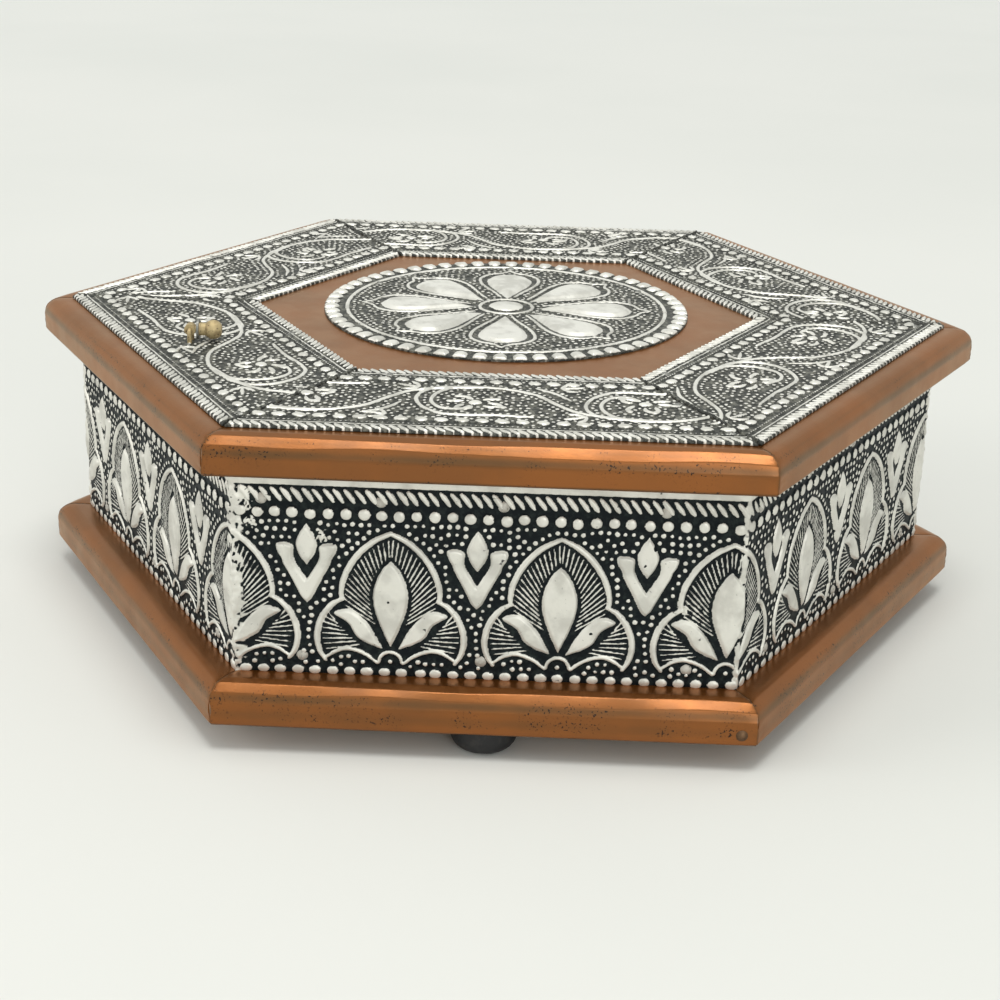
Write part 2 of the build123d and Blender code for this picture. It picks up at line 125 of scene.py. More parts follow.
class Plate:
    """A flat piece of tin, ready to be punched."""

    def __init__(self, left, low, right, high):
        self.left, self.low = left, low
        shape = (int((high - low) / CELL) + 1, int((right - left) / CELL) + 1)
        self.lift = np.zeros(shape, np.float32)
        self.shine = np.zeros(shape, np.float32)
        self.gap = np.full(shape, 9.0, np.float32)

    def window(self, left, low, right, high):
        """The rows and columns of a rectangle, and the places of its cells."""
        rows, cols = self.lift.shape
        c0, c1 = (int(np.clip((x - self.left) / CELL, 0, cols)) for x in (left, right))
        r0, r1 = (int(np.clip((y - self.low) / CELL, 0, rows)) for y in (low, high))
        x = self.left + CELL * np.arange(c0, c1, dtype=np.float32)
        y = self.low + CELL * np.arange(r0, r1, dtype=np.float32)
        return (slice(r0, r1), slice(c0, c1)), *np.meshgrid(x, y)

    def whole(self):
        """Every cell, and its place."""
        return self.window(-FAR, -FAR, FAR, FAR)

    def add(self, part, lift, shine, gap):
        """Marks only ever add to what is there."""
        self.lift[part] = np.maximum(self.lift[part], lift)
        self.shine[part] = np.maximum(self.shine[part], shine)
        self.gap[part] = np.minimum(self.gap[part], gap)


def smooth(value):
    """0 below 0, 1 above 1, and a soft step between."""
    value = np.clip(value, 0, 1)
    return value * value * (3 - 2 * value)


def cloudy(shape, size, rng):
    """Soft uneven values from -1 to 1, about size cells across."""
    coarse = rng.uniform(-1, 1, (int(shape[0] / size) + 3, int(shape[1] / size) + 3)).astype(np.float32)
    rows, cols = np.arange(shape[0]) / size, np.arange(shape[1]) / size
    r, c = rows.astype(int), cols.astype(int)
    fr, fc = smooth(rows - r)[:, None], smooth(cols - c)[None, :]
    top = coarse[r][:, c] * (1 - fc) + coarse[r][:, c + 1] * fc
    bottom = coarse[r + 1][:, c] * (1 - fc) + coarse[r + 1][:, c + 1] * fc
    return (top * (1 - fr) + bottom * fr).astype(np.float32)

# %% [markdown]
# ## Marks
# Three marks make nearly everything on this box: a line that tapers, a domed bead, and a closed shape with a
# flat polished top. Each is worked out from the distance to its own outline, so its sides are smooth at any
# size. Drawing from distances was chosen over sculpting because the marks then stay as crisp as punched
# metal and repeat exactly.

# %% Distances
ROOM = 5.0


def flowing(points, steps=6):
    """A smooth line through a few points."""
    p = np.array(points, float)
    p = np.vstack([2 * p[0] - p[1], p, 2 * p[-1] - p[-2]])
    t = np.arange(steps)[:, None] / steps
    runs = [
        0.5 * (2 * b + (c - a) * t + (2 * a - 5 * b + 4 * c - d) * t**2 + (3 * b - a - 3 * c + d) * t**3)
        for a, b, c, d in zip(p, p[1:], p[2:], p[3:])
    ]
    return np.vstack([*runs, p[-2:-1]])


def near_path(x, y, path):
    """Distance to a line, and how far along it the nearest point lies, from 0 to 1."""
    best, along = np.full(x.shape, 99.0, np.float32), np.zeros(x.shape, np.float32)
    steps = np.hypot(*(path[1:] - path[:-1]).T)
    done = 0.0
    for (ax, ay), (bx, by), step in zip(path, path[1:], steps):
        ux, uy = (bx - ax) / step, (by - ay) / step
        s = np.clip((x - ax) * ux + (y - ay) * uy, 0, step)
        away = np.hypot(x - ax - s * ux, y - ay - s * uy)
        closer = away < best
        best[closer] = away[closer]
        along[closer] = ((done + s) / steps.sum())[closer]
        done += step
    return best, along


def inside(x, y, outline):
    """True where a cell lies inside a closed outline."""
    odd = np.zeros(x.shape, bool)
    for (ax, ay), (bx, by) in zip(outline, np.roll(outline, -1, axis=0)):
        if ay != by:
            odd ^= ((ay > y) != (by > y)) & (x < (bx - ax) * (y - ay) / (by - ay) + ax)
    return odd


def around(path, margin):
    return *(path.min(0) - margin), *(path.max(0) + margin)

# %% [markdown]
# ## Three punches
# Each punch looks at the cells within reach of its mark and hands the plate three values for each: how
# high the tin is pushed, how bright its top is rubbed, and how far the cell is from the mark's edge.

# %% Lines, beads and leaves
# the slope beside a line, and the width of the border between rubbed and black
SLOPE, RUB_EDGE = 0.22, 0.16


def ridge(plate, part, away, half, height):
    """A raised line, from each cell's distance to its middle."""
    up = np.clip(1 - away / (half + SLOPE), 0, 1)
    plate.add(part, height * smooth(1.25 * up), smooth((half - away) / RUB_EDGE + 0.5), away - half)


def line(plate, path, half, height=0.5, thin_ends=0.35):
    """A raised line that thins towards both ends."""
    part, x, y = plate.window(*around(path, ROOM))
    away, along = near_path(x, y, path)
    ridge(plate, part, away, half * (1 - thin_ends * np.abs(2 * along - 1) ** 3), height)


def bead(plate, x0, y0, half_w, half_h, height, turn=0.0):
    """A domed bead, round or oval."""
    reach = max(half_w, half_h) + ROOM
    part, x, y = plate.window(x0 - reach, y0 - reach, x0 + reach, y0 + reach)
    c, s = cos(turn), sin(turn)
    across, up = c * (x - x0) + s * (y - y0), c * (y - y0) - s * (x - x0)
    q = np.hypot(across / half_w, up / half_h)
    small = min(half_w, half_h)
    dome = np.clip(1 - (q * small / (small + 0.12)) ** 2, 0, 1) ** 0.35
    plate.add(part, height * dome, smooth((1 - q) * small / 0.2 + 0.35), (q - 1) * small)


def leaf(plate, outline, height=0.7, shoulder=0.7):
    """A closed shape with a soft shoulder and a nearly flat, polished top."""
    part, x, y = plate.window(*around(outline, ROOM))
    away, _ = near_path(x, y, np.vstack([outline, outline[:1]]))
    depth = np.where(inside(x, y, outline), away, -away)
    up = smooth((depth + 0.15) / shoulder) * (0.92 + 0.08 * smooth(depth / 2.5))
    plate.add(part, height * up, smooth(depth / RUB_EDGE + 0.5), -depth)


def mirrored(path):
    return path * (-1, 1)


def both_sides(half):
    """A closed outline from its right half, which runs from top to bottom on the axis."""
    return np.vstack([half, mirrored(half)[::-1][1:-1]])


def strike(plate, punch, x0, y0):
    """Repeats a finished motif on a plate, as a steel punch would."""
    rows, cols = punch.lift.shape
    r0, c0 = round((y0 + punch.low - plate.low) / CELL), round((x0 + punch.left - plate.left) / CELL)
    r1, c1 = max(r0, 0), max(c0, 0)
    r2, c2 = min(r0 + rows, plate.lift.shape[0]), min(c0 + cols, plate.lift.shape[1])
    if r2 > r1 and c2 > c1:
        cut = (slice(r1 - r0, r2 - r0), slice(c1 - c0, c2 - c0))
        plate.add((slice(r1, r2), slice(c1, c2)), punch.lift[cut], punch.shine[cut], punch.gap[cut])

# %% [markdown]
# ## Dots that follow the outlines
# The ground between the motifs is filled with small dots, set in rows that echo whatever shape is nearest.
# Packing them from the outlines outward gives that look: the cells closest to a shape are used first, and
# each new dot goes next to the last one, one spacing away.

# %% Fill the ground with dots
DOT_STRIDE = 2


def dot_fill(plate, rng, half=0.42, spacing=1.9, clear=1.15, height=0.34, low=-FAR, high=FAR):
    """Rows of dots on the ground that echo the outlines, nearest first."""
    step = CELL * DOT_STRIDE
    room = plate.gap[::DOT_STRIDE, ::DOT_STRIDE] - clear
    rows = plate.low + step * np.arange(room.shape[0])
    rank = np.floor(room / (0.9 * spacing)).astype(int)
    on_row = room - rank * 0.9 * spacing < 1.6 * step
    free = (room > 0) & on_row & ((rows > low) & (rows < high))[:, None]
    reach = int(1.7 * spacing / step)
    blocked = int(spacing / step) + 1
    count = 0
    for ring in range(int(rank[free].max(initial=0)) + 1):
        for start in np.argwhere(free & (rank == ring)):
            here = tuple(start)
            while here is not None and free[here]:
                r, c = here
                grow = rng.uniform(0.82, 1.16)
                x, y = plate.left + step * c, plate.low + step * r
                x, y = x + rng.normal(0, 0.05), y + rng.normal(0, 0.05)
                bead(plate, x, y, half * grow, half * grow, height)
                count += 1
                r0, c0 = max(r - blocked, 0), max(c - blocked, 0)
                near = free[r0 : r + blocked + 1, c0 : c + blocked + 1]
                rr, cc = np.ogrid[r0 : r0 + near.shape[0], c0 : c0 + near.shape[1]]
                near[np.hypot(rr - r, cc - c) * step < spacing] = False
                r0, c0 = max(r - reach, 0), max(c - reach, 0)
                view = free[r0 : r + reach + 1, c0 : c + reach + 1]
                view = view & (rank[r0 : r + reach + 1, c0 : c + reach + 1] == ring)
                spots = np.argwhere(view)
                here = None
                if len(spots):
                    nearest = spots[np.argmin(np.hypot(*(spots - (r - r0, c - c0)).T))]
                    here = (r0 + nearest[0], c0 + nearest[1])
    return count

# %% [markdown]
# ## Motifs of the side band
# A palmette stands under a pointed arch: one tall leaf, two side leaves, fine barbs round them, and two low
# arcs that meet in a small ring. Between two palmettes stands a tulip of two arms and a lozenge. Both are
# struck many times, so each is drawn once as a punch. Their foot is at height 0.

# %% Outlines of the palmette and the tulip
ARCH = [(0, 29.2), (3.4, 27.4), (6.3, 24.8), (8.5, 21.6), (9.8, 18.4), (10.2, 15.6), (10.0, 14.2)]
LOBE = [(9.8, 14.4), (12.0, 13.0), (13.9, 10.6), (15.0, 7.8), (15.3, 5.0), (14.7, 2.2), (13.5, 0.2)]
SOLE = [(13.3, 0.9), (11.2, 2.3), (8.6, 2.9), (5.3, 1.8), (2.7, -0.2)]
# each line of the palmette: half its width, its height, how much its ends thin out
PALMETTE_LINES = [(ARCH, 0.66, 0.62, 0.3), (LOBE, 0.68, 0.62, 0.45), (SOLE, 0.42, 0.5, 0.3)]
TALL_LEAF = [(0, 23.0), (1.6, 21.3), (2.95, 18.6), (3.65, 15.4), (3.3, 12.0), (1.85, 7.7), (0, 3.4)]
SIDE_LEAF = [
    (1.6, 3.0), (3.5, 6.9), (5.8, 10.0), (8.8, 12.0), (11.8, 10.9), (8.8, 8.7), (7.1, 5.8), (4.6, 4.1),
]
LOZENGE = [(0, 30.4), (1.35, 28.3), (2.2, 25.9), (1.5, 23.4), (0, 21.2)]
ARMS = [
    (0, 18.0), (1.6, 20.6), (2.5, 22.4), (2.7, 23.6), (2.6, 24.9), (2.9, 25.6), (4.3, 26.1), (5.8, 26.0),
    (6.3, 25.4), (6.0, 24.0), (5.2, 22.6), (4.8, 21.3), (3.6, 19.0), (2.3, 16.4), (1.2, 14.1), (0, 12.7),
]
# a fan of barbs: how many, the curve that they start on, the curve that they end on
UPPER_FAN = (
    16,
    [(0.25, 23.9), (1.95, 21.9), (3.6, 18.9), (4.4, 15.9), (4.2, 12.4), (3.2, 8.8)],
    [(0.5, 27.7), (3.1, 26.1), (5.8, 23.5), (8.0, 20.2), (9.3, 16.6), (9.4, 12.9)],
)
LOWER_FAN = (
    8,
    [(11.5, 9.3), (9.9, 7.5), (8.4, 5.7), (7.1, 4.6), (6.4, 3.9)],
    [(12.9, 11.2), (13.8, 9.0), (14.2, 6.9), (14.1, 4.8), (13.4, 2.7)],
)
print("palmette in millimetres:", 2 * max(x for x, y in LOBE), "by", ARCH[0][1])

# %% [markdown]
# ## Cut the two punches
# Only the right half of each motif is drawn, and the left half is its mirror image, because a punch is
# filed the same on both sides. The ground inside the palmette's outline is closed to dots, since its barbs
# fill it.

# %% Palmette and tulip
RING_R = 2.4
BARB = {"half": 0.15, "height": 0.36, "thin_ends": 0.25}
RING = {"half": 0.38, "height": 0.45, "thin_ends": 0.2}
LEAF_H, TALL_LEAF_H = 0.66, 0.75


def evenly(path, count):
    """Places at equal distances along a line."""
    done = np.concatenate([[0], np.cumsum(np.hypot(*np.diff(path, axis=0).T))])
    return np.stack([np.interp(np.linspace(0, done[-1], count), done, path[:, k]) for k in (0, 1)], 1)


def fan(plate, barbs, start, end, flip):
    """Fine straight barbs from one curve to another."""
    start, end = (evenly(flip(flowing(path)), barbs) for path in (start, end))
    for ends in zip(start, end):
        line(plate, np.array(ends), **BARB)


def palmette_punch():
    punch = Plate(-22, -8, 22, 36)
    turns = np.linspace(0, pi, 16)
    ring = RING_R * np.stack([np.cos(turns), np.sin(turns)], 1)
    for flip in (lambda path: path, mirrored):
        for path, half, height, thin_ends in PALMETTE_LINES:
            line(punch, flip(flowing(path)), half, height, thin_ends)
        leaf(punch, flip(flowing(SIDE_LEAF)), LEAF_H)
        fan(punch, *UPPER_FAN, flip)
        fan(punch, *LOWER_FAN, flip)
    line(punch, ring, **RING)
    bead(punch, 0, 0.2, 0.5, 0.5, 0.32)
    leaf(punch, both_sides(flowing(TALL_LEAF)), TALL_LEAF_H)
    part, x, y = punch.whole()
    room = both_sides(np.vstack([*(flowing(path) for path, *_ in PALMETTE_LINES), [(0.01, 0)]]))
    punch.gap[inside(x, y, room)] = 0
    return punch


def tulip_punch():
    punch = Plate(-11, 7, 11, 36)
    leaf(punch, both_sides(flowing(LOZENGE)), LEAF_H)
    leaf(punch, both_sides(flowing(ARMS)), LEAF_H)
    return punch

# %% [markdown]
# ## The side band
# The band is one long punched strip that is wrapped round the body, so it is drawn as one strip and then
# bent. Going round the corners squeezes the relief flat and rubs it bright, and the pattern runs on from one
# side to the next. From the bottom up it has half beads, dots, the motifs, dots, a bead row, a rope and a
# plain margin.

# %% Draw the side strip
BAND_SHIFT = -2.2
PITCHES = 18
PITCH = 6 * SIDE_LEN / PITCHES
FOOT_Z = 18.7
BEAD_ROW_Z, HALF_BEAD_Z = 51.6, 16.2
BEAD_R, BEADS_PER_SIDE, BEAD_H = 1.22, 29, 0.7
# the half beads below: how far they are shifted, how much wider and lower they are, and their height
HALF_BEAD_SHIFT, HALF_BEAD_WIDE, HALF_BEAD_TALL, HALF_BEAD_H = 0.6, 1.05, 0.85, 0.55
DOTS_LOW, DOTS_HIGH = 17.1, 49.8
ROPE_Z, ROPE_HALF, ROPE_PITCH = 55.5, 1.6, 2.15
# spare tin past each end and past each long edge of the strip
SPARE, SPARE_EDGE = 20, 1


def rope(plate, y0, x0, x1, pitch=ROPE_PITCH, half=ROPE_HALF, lean=0.8, thick=0.55, rng=None):
    """A row of slanted strands."""
    count = round((x1 - x0) / pitch)
    for i in range(count):
        x = x0 + (i + 0.5) * (x1 - x0) / count + rng.normal(0, 0.06)
        side_x, side_y = lean * half * 0.75, half * 0.8
        strand = flowing([(x - side_x, y0 + side_y), (x, y0 + 0.1), (x + side_x, y0 - side_y)], 3)
        line(plate, strand, thick * rng.uniform(0.85, 1.1), 0.5, 0.45)


def side_strip():
    rng = np.random.default_rng(11)
    length = 6 * SIDE_LEN
    strip = Plate(-SPARE, SIDE_LOW - SPARE_EDGE, length + SPARE, SIDE_HIGH + SPARE_EDGE)
    palmette, tulip = palmette_punch(), tulip_punch()
    for i in range(-1, PITCHES + 2):
        x = i * PITCH + BAND_SHIFT
        strike(strip, palmette, x + rng.normal(0, 0.15), FOOT_Z + rng.normal(0, 0.1))
        strike(strip, tulip, x + PITCH / 2 + rng.normal(0, 0.2), FOOT_Z + rng.normal(0, 0.15))
    beads = 6 * BEADS_PER_SIDE
    for i in range(-5, beads + 5):
        x = (i + 0.5) * length / beads
        wide, high = BEAD_R * rng.uniform(0.9, 1.06, 2)
        bead(strip, x + rng.normal(0, 0.1), BEAD_ROW_Z + rng.normal(0, 0.1), wide, high, BEAD_H)
        x = x + HALF_BEAD_SHIFT + rng.normal(0, 0.1)
        bead(strip, x, HALF_BEAD_Z, HALF_BEAD_WIDE * wide, HALF_BEAD_TALL * high, HALF_BEAD_H)
    dots = dot_fill(strip, rng, half=0.48, spacing=1.64, clear=1.05, low=DOTS_LOW, high=DOTS_HIGH)
    rope(strip, ROPE_Z, -SPARE, length + SPARE, rng=rng)
    print("dots on the side strip:", dots)
    wear(strip, rng)
    return strip

# %% [markdown]
# ## Wear on the side band
# Years of handling rubbed the high marks, chipped the patina and crushed the tin where it turns a corner.
# The places of the clearest spots were measured, and soft noise does the rest, so that no side looks clean.
# The wear comes after the punching, on the finished strip, as it did on the real tin.

# %% Wear the side strip
# how wide the tin is crushed at each of the six corners
CRUSH_W = (1.0, 2.4, 0.9, 1.2, 1.5, 1.1)
# rubbed patches and small dark chips: place along the front right side, height, reach
RUBBED = [(-33.9, 46.6, 1.3), (-50.2, 54.5, 2.2), (-48.6, 49.0, 1.2), (41.0, 33.0, 0.8)]
CHIPS = [
    (-20.3, 32.6, 0.4), (34.0, 46.4, 0.7), (39.5, 41.3, 0.6), (32.0, 42.8, 0.45),
    (-2.0, 38.0, 0.35), (21.5, 27.0, 0.4),
]
FRONT_RIGHT_MIDDLE = 1.5 * SIDE_LEN
MARGIN_Z, MARGIN_H = 57.4, 0.25
CORNER_H = 0.16


def wear(strip, rng):
    """Bright margin, rubbed places, chips, crushed corners and a slight unevenness."""
    shape = strip.lift.shape
    part, x, y = strip.whole()
    # the plain margin at the top is rubbed bright
    margin = smooth((y - MARGIN_Z) / 0.25)
    strip.shine = np.maximum(strip.shine, margin)
    strip.lift = np.maximum(strip.lift, (MARGIN_H + 0.06 * cloudy(shape, 30, rng)) * margin)
    # a haze of wear in wide clouds, and a few dull specks
    worn = smooth((cloudy(shape, 130, rng) - 0.55) / 0.4) * smooth(0.3 + 0.9 * cloudy(shape, 3, rng))
    strip.shine = np.maximum(strip.shine, 0.35 * worn)
    strip.shine *= 1 - 0.5 * smooth((cloudy(shape, 8, rng) - 0.8) / 0.1)
    for t, z, reach in RUBBED:
        near = np.hypot(x - FRONT_RIGHT_MIDDLE - t, (y - z) * 0.8) / reach
        rough = cloudy(shape, 3, rng) + 0.7 * cloudy(shape, 7, rng)
        strip.shine = np.maximum(strip.shine, smooth(1.1 - near + 0.9 * rough) * smooth(1.8 - near))
    for t, z, reach in CHIPS:
        near = np.hypot(x - FRONT_RIGHT_MIDDLE - t, y - z) / reach + 0.5 * cloudy(shape, 4, rng)
        strip.shine *= smooth(near / 0.5 - 1)
    # round a corner the relief is squeezed flat, crumpled and rubbed
    corner = np.abs((x + SIDE_LEN / 2) % SIDE_LEN - SIDE_LEN / 2)
    crush_w = np.array(CRUSH_W)[np.round(x / SIDE_LEN).astype(int) % len(CRUSH_W)]
    crush = np.exp(-((corner / crush_w) ** 2))
    crumple = cloudy(shape, 7, rng) + 0.6 * cloudy(shape, 16, rng)
    strip.lift = strip.lift * (1 - 0.55 * crush) + crush * (CORNER_H + CORNER_H * crumple)
    strip.shine = np.maximum(strip.shine * (1 - 0.2 * crush), smooth(crush * (0.75 + 0.9 * crumple)))
    strip.lift += 0.035 * cloudy(shape, 9, rng) + 0.02 * cloudy(shape, 4, rng)


print("measured spots of wear:", len(RUBBED), "rubbed,", len(CHIPS), "chipped")

# %% [markdown]
# ## The scroll of the lid strips
# Each lid strip carries a running vine between two bead rows and two rope edges. The vine climbs over one
# flower, curls round it and ends in its middle, and a second line leaves it to pass under the next flower,
# which has the same drawing upside down. Small curled leaves stand round every flower's middle bead.

# %% Flowers and sprays
STEM = [
    (-38, -8), (-27, -6.5), (-21, -4), (-17, 0.5), (-13, 6), (-8.3, 9), (-3.3, 10.5),
    (2.6, 10.7), (6.6, 8.5), (8.8, 4.4), (9.0, 0.2), (7.1, -3.5), (3.3, -4.5), (1.1, -2.3),
]
HOOP = [
    (-12, -8.2), (-4, -7.6), (1.6, -8), (6.6, -7.4), (10.6, -3.5), (12.3, 1.9), (11.3, 6.6),
    (8, 9.7), (3, 10.6),
]
TAIL = [(-20, 3), (-16.5, 8), (-12, 11.3)]
VINE = {"half": 0.44, "height": 0.55, "thin_ends": 0.2}
TENDRIL = {"half": 0.42, "height": 0.45, "thin_ends": 0.8}
CURL = {"half": 0.55, "height": 0.5, "thin_ends": 0.6}
LEAFLET = {"half": 0.42, "height": 0.5, "thin_ends": 0.7}


def flower(plate, x0, y0, rng):
    """A middle bead with small curled leaves round it."""
    bead(plate, x0, y0, 1.45, 1.25, 0.75)
    start = rng.uniform(0, pi)
    for i in range(7):
        turn = start + i * 2 * pi / 7 + rng.normal(0, 0.08)
        curl = rng.choice((-1, 1)) * rng.uniform(0.25, 0.5)
        reach = rng.uniform(4.9, 6.2)
        path = [
            (x0 + r * 1.1 * cos(turn + curl * k), y0 + r * 0.92 * sin(turn + curl * k))
            for r, k in ((2.6, 0), (reach * 0.75, 0.35), (reach, 1.0))
        ]
        line(plate, flowing(path, 4), **CURL)
        bead(plate, *path[-1], 0.8, 0.7, 0.5)


def spray(plate, x0, y0, turn, rng):
    """A small fan of three leaflets."""
    for swing, reach in ((-0.7, 4.2), (0, 5.2), (0.7, 4.2)):
        c, s = cos(turn + swing), sin(turn + swing)
        bend_x, bend_y = -s * 0.7 * swing, c * 0.7 * swing
        middle = (x0 + reach * 0.55 * c + bend_x, y0 + reach * 0.55 * s + bend_y)
        path = [(x0, y0), middle, (x0 + reach * c, y0 + reach * s)]
        line(plate, flowing(path, 4), **LEAFLET)

# %% [markdown]
# ## One lid strip
# The same few curves are set down along the strip, every other one upside down, as a craftsperson would
# repeat them by eye. Rows that run along the edges come next, and the dots fill what is left.

# %% Draw one lid strip
MID_V, FLOWER_OFF = 20.0, 1.3
DRAWN_PITCH = 35.0
# places of the rows, from the strip's outer edge inwards; each is repeated from the inner edge
STRIP_ROPE_V, STRIP_ROPE_HALF, STRIP_ROPE_PITCH = 1.2, 1.3, 1.85
STRIP_LINE_V, FINE_LINE = 3.1, {"half": 0.2, "height": 0.35, "thin_ends": 0}
FINE_DOT_V, FINE_DOT_PITCH = 4.5, 1.05
STRIP_BEAD_V, STRIP_BEAD_PITCH = 6.9, 4.05


def lid_strip(seed, first, pitch, flip, run):
    """One flower stands at first. flip turns the drawing upside down and run turns it end for end."""
    rng = np.random.default_rng(seed)
    half = STRIP_OUT_R * tan(HALF_CORNER)
    strip = Plate(-half - 1, -0.5, half + 1, STRIP_W + 0.5)
    wide = run * pitch / DRAWN_PITCH
    for number in range(-3, 4):
        x0 = first + number * pitch
        up = flip * (1 if number % 2 == 0 else -1)
        y0 = MID_V - up * FLOWER_OFF
        stem, hoop = (flowing(path) * (wide, up) + (x0, y0) for path in (STEM, HOOP))
        for path in (stem, hoop):
            if path[:, 0].max() > -half - 4 and path[:, 0].min() < half + 4:
                line(strip, path, **VINE)
        if abs(x0) < half + 8:
            flower(strip, x0, y0, rng)
            spray(strip, x0 + wide * 17.5, y0 - up * 9.0, pi * (0.5 - 0.5 * up * run) + up * run * 0.2, rng)
            spray(strip, x0 + wide * 12.0, y0 + up * 9.5, pi * (0.5 - 0.5 * run) + up * run * 0.35, rng)
            line(strip, flowing(TAIL) * (wide, up) + (x0, y0), **TENDRIL)
    for v in (STRIP_BEAD_V, STRIP_W - STRIP_BEAD_V):
        reach = (STRIP_OUT_R - v) * tan(HALF_CORNER)
        count = round(2 * reach / STRIP_BEAD_PITCH)
        for i in range(count):
            x = -reach + (i + 0.5) * 2 * reach / count + rng.normal(0, 0.08)
            bead(strip, x, v + rng.normal(0, 0.08), 1.5 * rng.uniform(0.92, 1.1), 1.15, 0.75, -0.25)
    for v in (STRIP_LINE_V, STRIP_W - STRIP_LINE_V):
        line(strip, np.array([(-half, v), (half, v)]), **FINE_LINE)
    for v in (FINE_DOT_V, STRIP_W - FINE_DOT_V):
        for x in np.arange(-half, half, FINE_DOT_PITCH):
            bead(strip, x, v, 0.3, 0.26, 0.3)
    strip.gap[strip.window(-60, -1, 60, FINE_DOT_V + 0.3)[0]] = 0
    strip.gap[strip.window(-60, STRIP_W - FINE_DOT_V - 0.3, 60, STRIP_W + 1)[0]] = 0
    for v in (STRIP_ROPE_V, STRIP_W - STRIP_ROPE_V):
        rope(strip, v, -half, half, STRIP_ROPE_PITCH, STRIP_ROPE_HALF, 1.0, 0.5, rng)
    dots = dot_fill(strip, rng, half=0.42, spacing=1.52, clear=0.85)
    shape = strip.lift.shape
    strip.lift += 0.04 * cloudy(shape, 9, rng) + 0.02 * cloudy(shape, 4, rng)
    return strip, dots

# %% [markdown]
# ## The medallion
# A round plate is nailed to the middle of the lid. Pillows run round its rim, then a groove and a fine
# raised ring. Inside, eight polished petals stand round a boss, each in its own outline that ends in a
# point.

# %% Draw the medallion
PILLOWS, PILLOW_HALF, PILLOW_H = 60, 1.6, 0.85
PETALS, PETAL_TURN, PETAL_H, PETAL_SHOULDER = 8, -30, 0.85, 1.6
RIM_IN_R = 40.9
FINE_RING_R, FINE_RING_HALF = 39.0, 0.45
BOSS_R, BOSS_H, BOSS_RING_R, BOSS_RING_HALF = 4.2, 1.0, 6.5, 0.42
RING_H = 0.5
PETAL = [(7.9, 0), (12, 1.5), (17, 3.6), (22, 5.3), (26.6, 5.6), (29.6, 3.6), (31.0, 0)]
HULL = [(9.0, 1.7), (13, 3.2), (17.5, 5.3), (22.3, 7.1), (27.6, 7.4), (31.3, 5.0), (32.9, 1.9), (35.4, 0)]
HULL_LINE = {"half": 0.4, "height": 0.45, "thin_ends": 0.3}


def turned(path, turn):
    c, s = cos(turn), sin(turn)
    x, y = np.asarray(path, float).T
    return np.stack([c * x - s * y, s * x + c * y], 1)


def medallion_plate(radius):
    rng = np.random.default_rng(5)
    plate = Plate(-radius - 1, -radius - 1, radius + 1, radius + 1)
    for i in range(PETALS):
        turn = radians(PETAL_TURN + i * 360 / PETALS)
        petal = flowing(PETAL)
        whole = np.vstack([petal, (petal * (1, -1))[::-1][1:-1]])
        leaf(plate, turned(whole, turn), PETAL_H, PETAL_SHOULDER)
        for flip in (1, -1):
            line(plate, turned(flowing(HULL) * (1, flip), turn), **HULL_LINE)
    part, x, y = plate.whole()
    r = np.hypot(x, y)
    for at, half in ((FINE_RING_R, FINE_RING_HALF), (BOSS_RING_R, BOSS_RING_HALF)):
        ridge(plate, part, np.abs(r - at), half, RING_H)
    bead(plate, 0, 0, BOSS_R, BOSS_R, BOSS_H)
    plate.gap[r > FINE_RING_R] = 0
    plate.gap[r < BOSS_RING_R] = 0
    dots = dot_fill(plate, rng, half=0.44, spacing=1.6, clear=0.95)
    turn = np.arctan2(y, x) * PILLOWS / (2 * pi)
    across = np.abs(turn - np.round(turn)) * 2 * pi * r / PILLOWS
    rim_mid, rim_half = (RIM_IN_R + radius) / 2, (radius - RIM_IN_R) / 2
    q = np.hypot(across / PILLOW_HALF, np.maximum(rim_mid - r, 0) / rim_half)
    q = np.maximum(q, np.abs(r - rim_mid) / rim_half)
    dome = np.sqrt(np.clip(1 - q**2.4, 0, 1))
    plate.add(part, PILLOW_H * dome, smooth((1 - q) / 0.12 + 0.3), np.zeros_like(r))
    plate.lift += 0.03 * cloudy(r.shape, 9, rng)
    return plate, dots

# %% [markdown]
# ## From a plate to a mesh
# A grid of faces follows the plate closely enough that the relief is real geometry: its edges catch the
# light and its outline shows in profile. Each piece is closed with a rim and a flat back, so it is a solid
# sheet. The brightness of each point is stored on the mesh, where the material can read it.

# %% Press a sheet
GRID = 0.235
AT_REST, TIN_T = 0.03, 0.38


def soften(field):
    """Each cell shares a little with its four neighbours."""
    out = field.copy()
    beside = field[2:, 1:-1] + field[:-2, 1:-1] + field[1:-1, 2:] + field[1:-1, :-2]
    out[1:-1, 1:-1] = field[1:-1, 1:-1] / 2 + beside / 8
    return out


def read(plate, x, y):
    """The lift and the shine of a plate at any place."""
    rows, cols = plate.lift.shape
    c = np.clip((x - plate.left) / CELL, 0, cols - 1.001)
    r = np.clip((y - plate.low) / CELL, 0, rows - 1.001)
    c0, r0 = c.astype(int), r.astype(int)
    fc, fr = c - c0, r - r0
    for field in (soften(plate.lift), soften(plate.shine)):
        top = field[r0, c0] * (1 - fc) + field[r0, c0 + 1] * fc
        bottom = field[r0 + 1, c0] * (1 - fc) + field[r0 + 1, c0 + 1] * fc
        yield top * (1 - fr) + bottom * fr


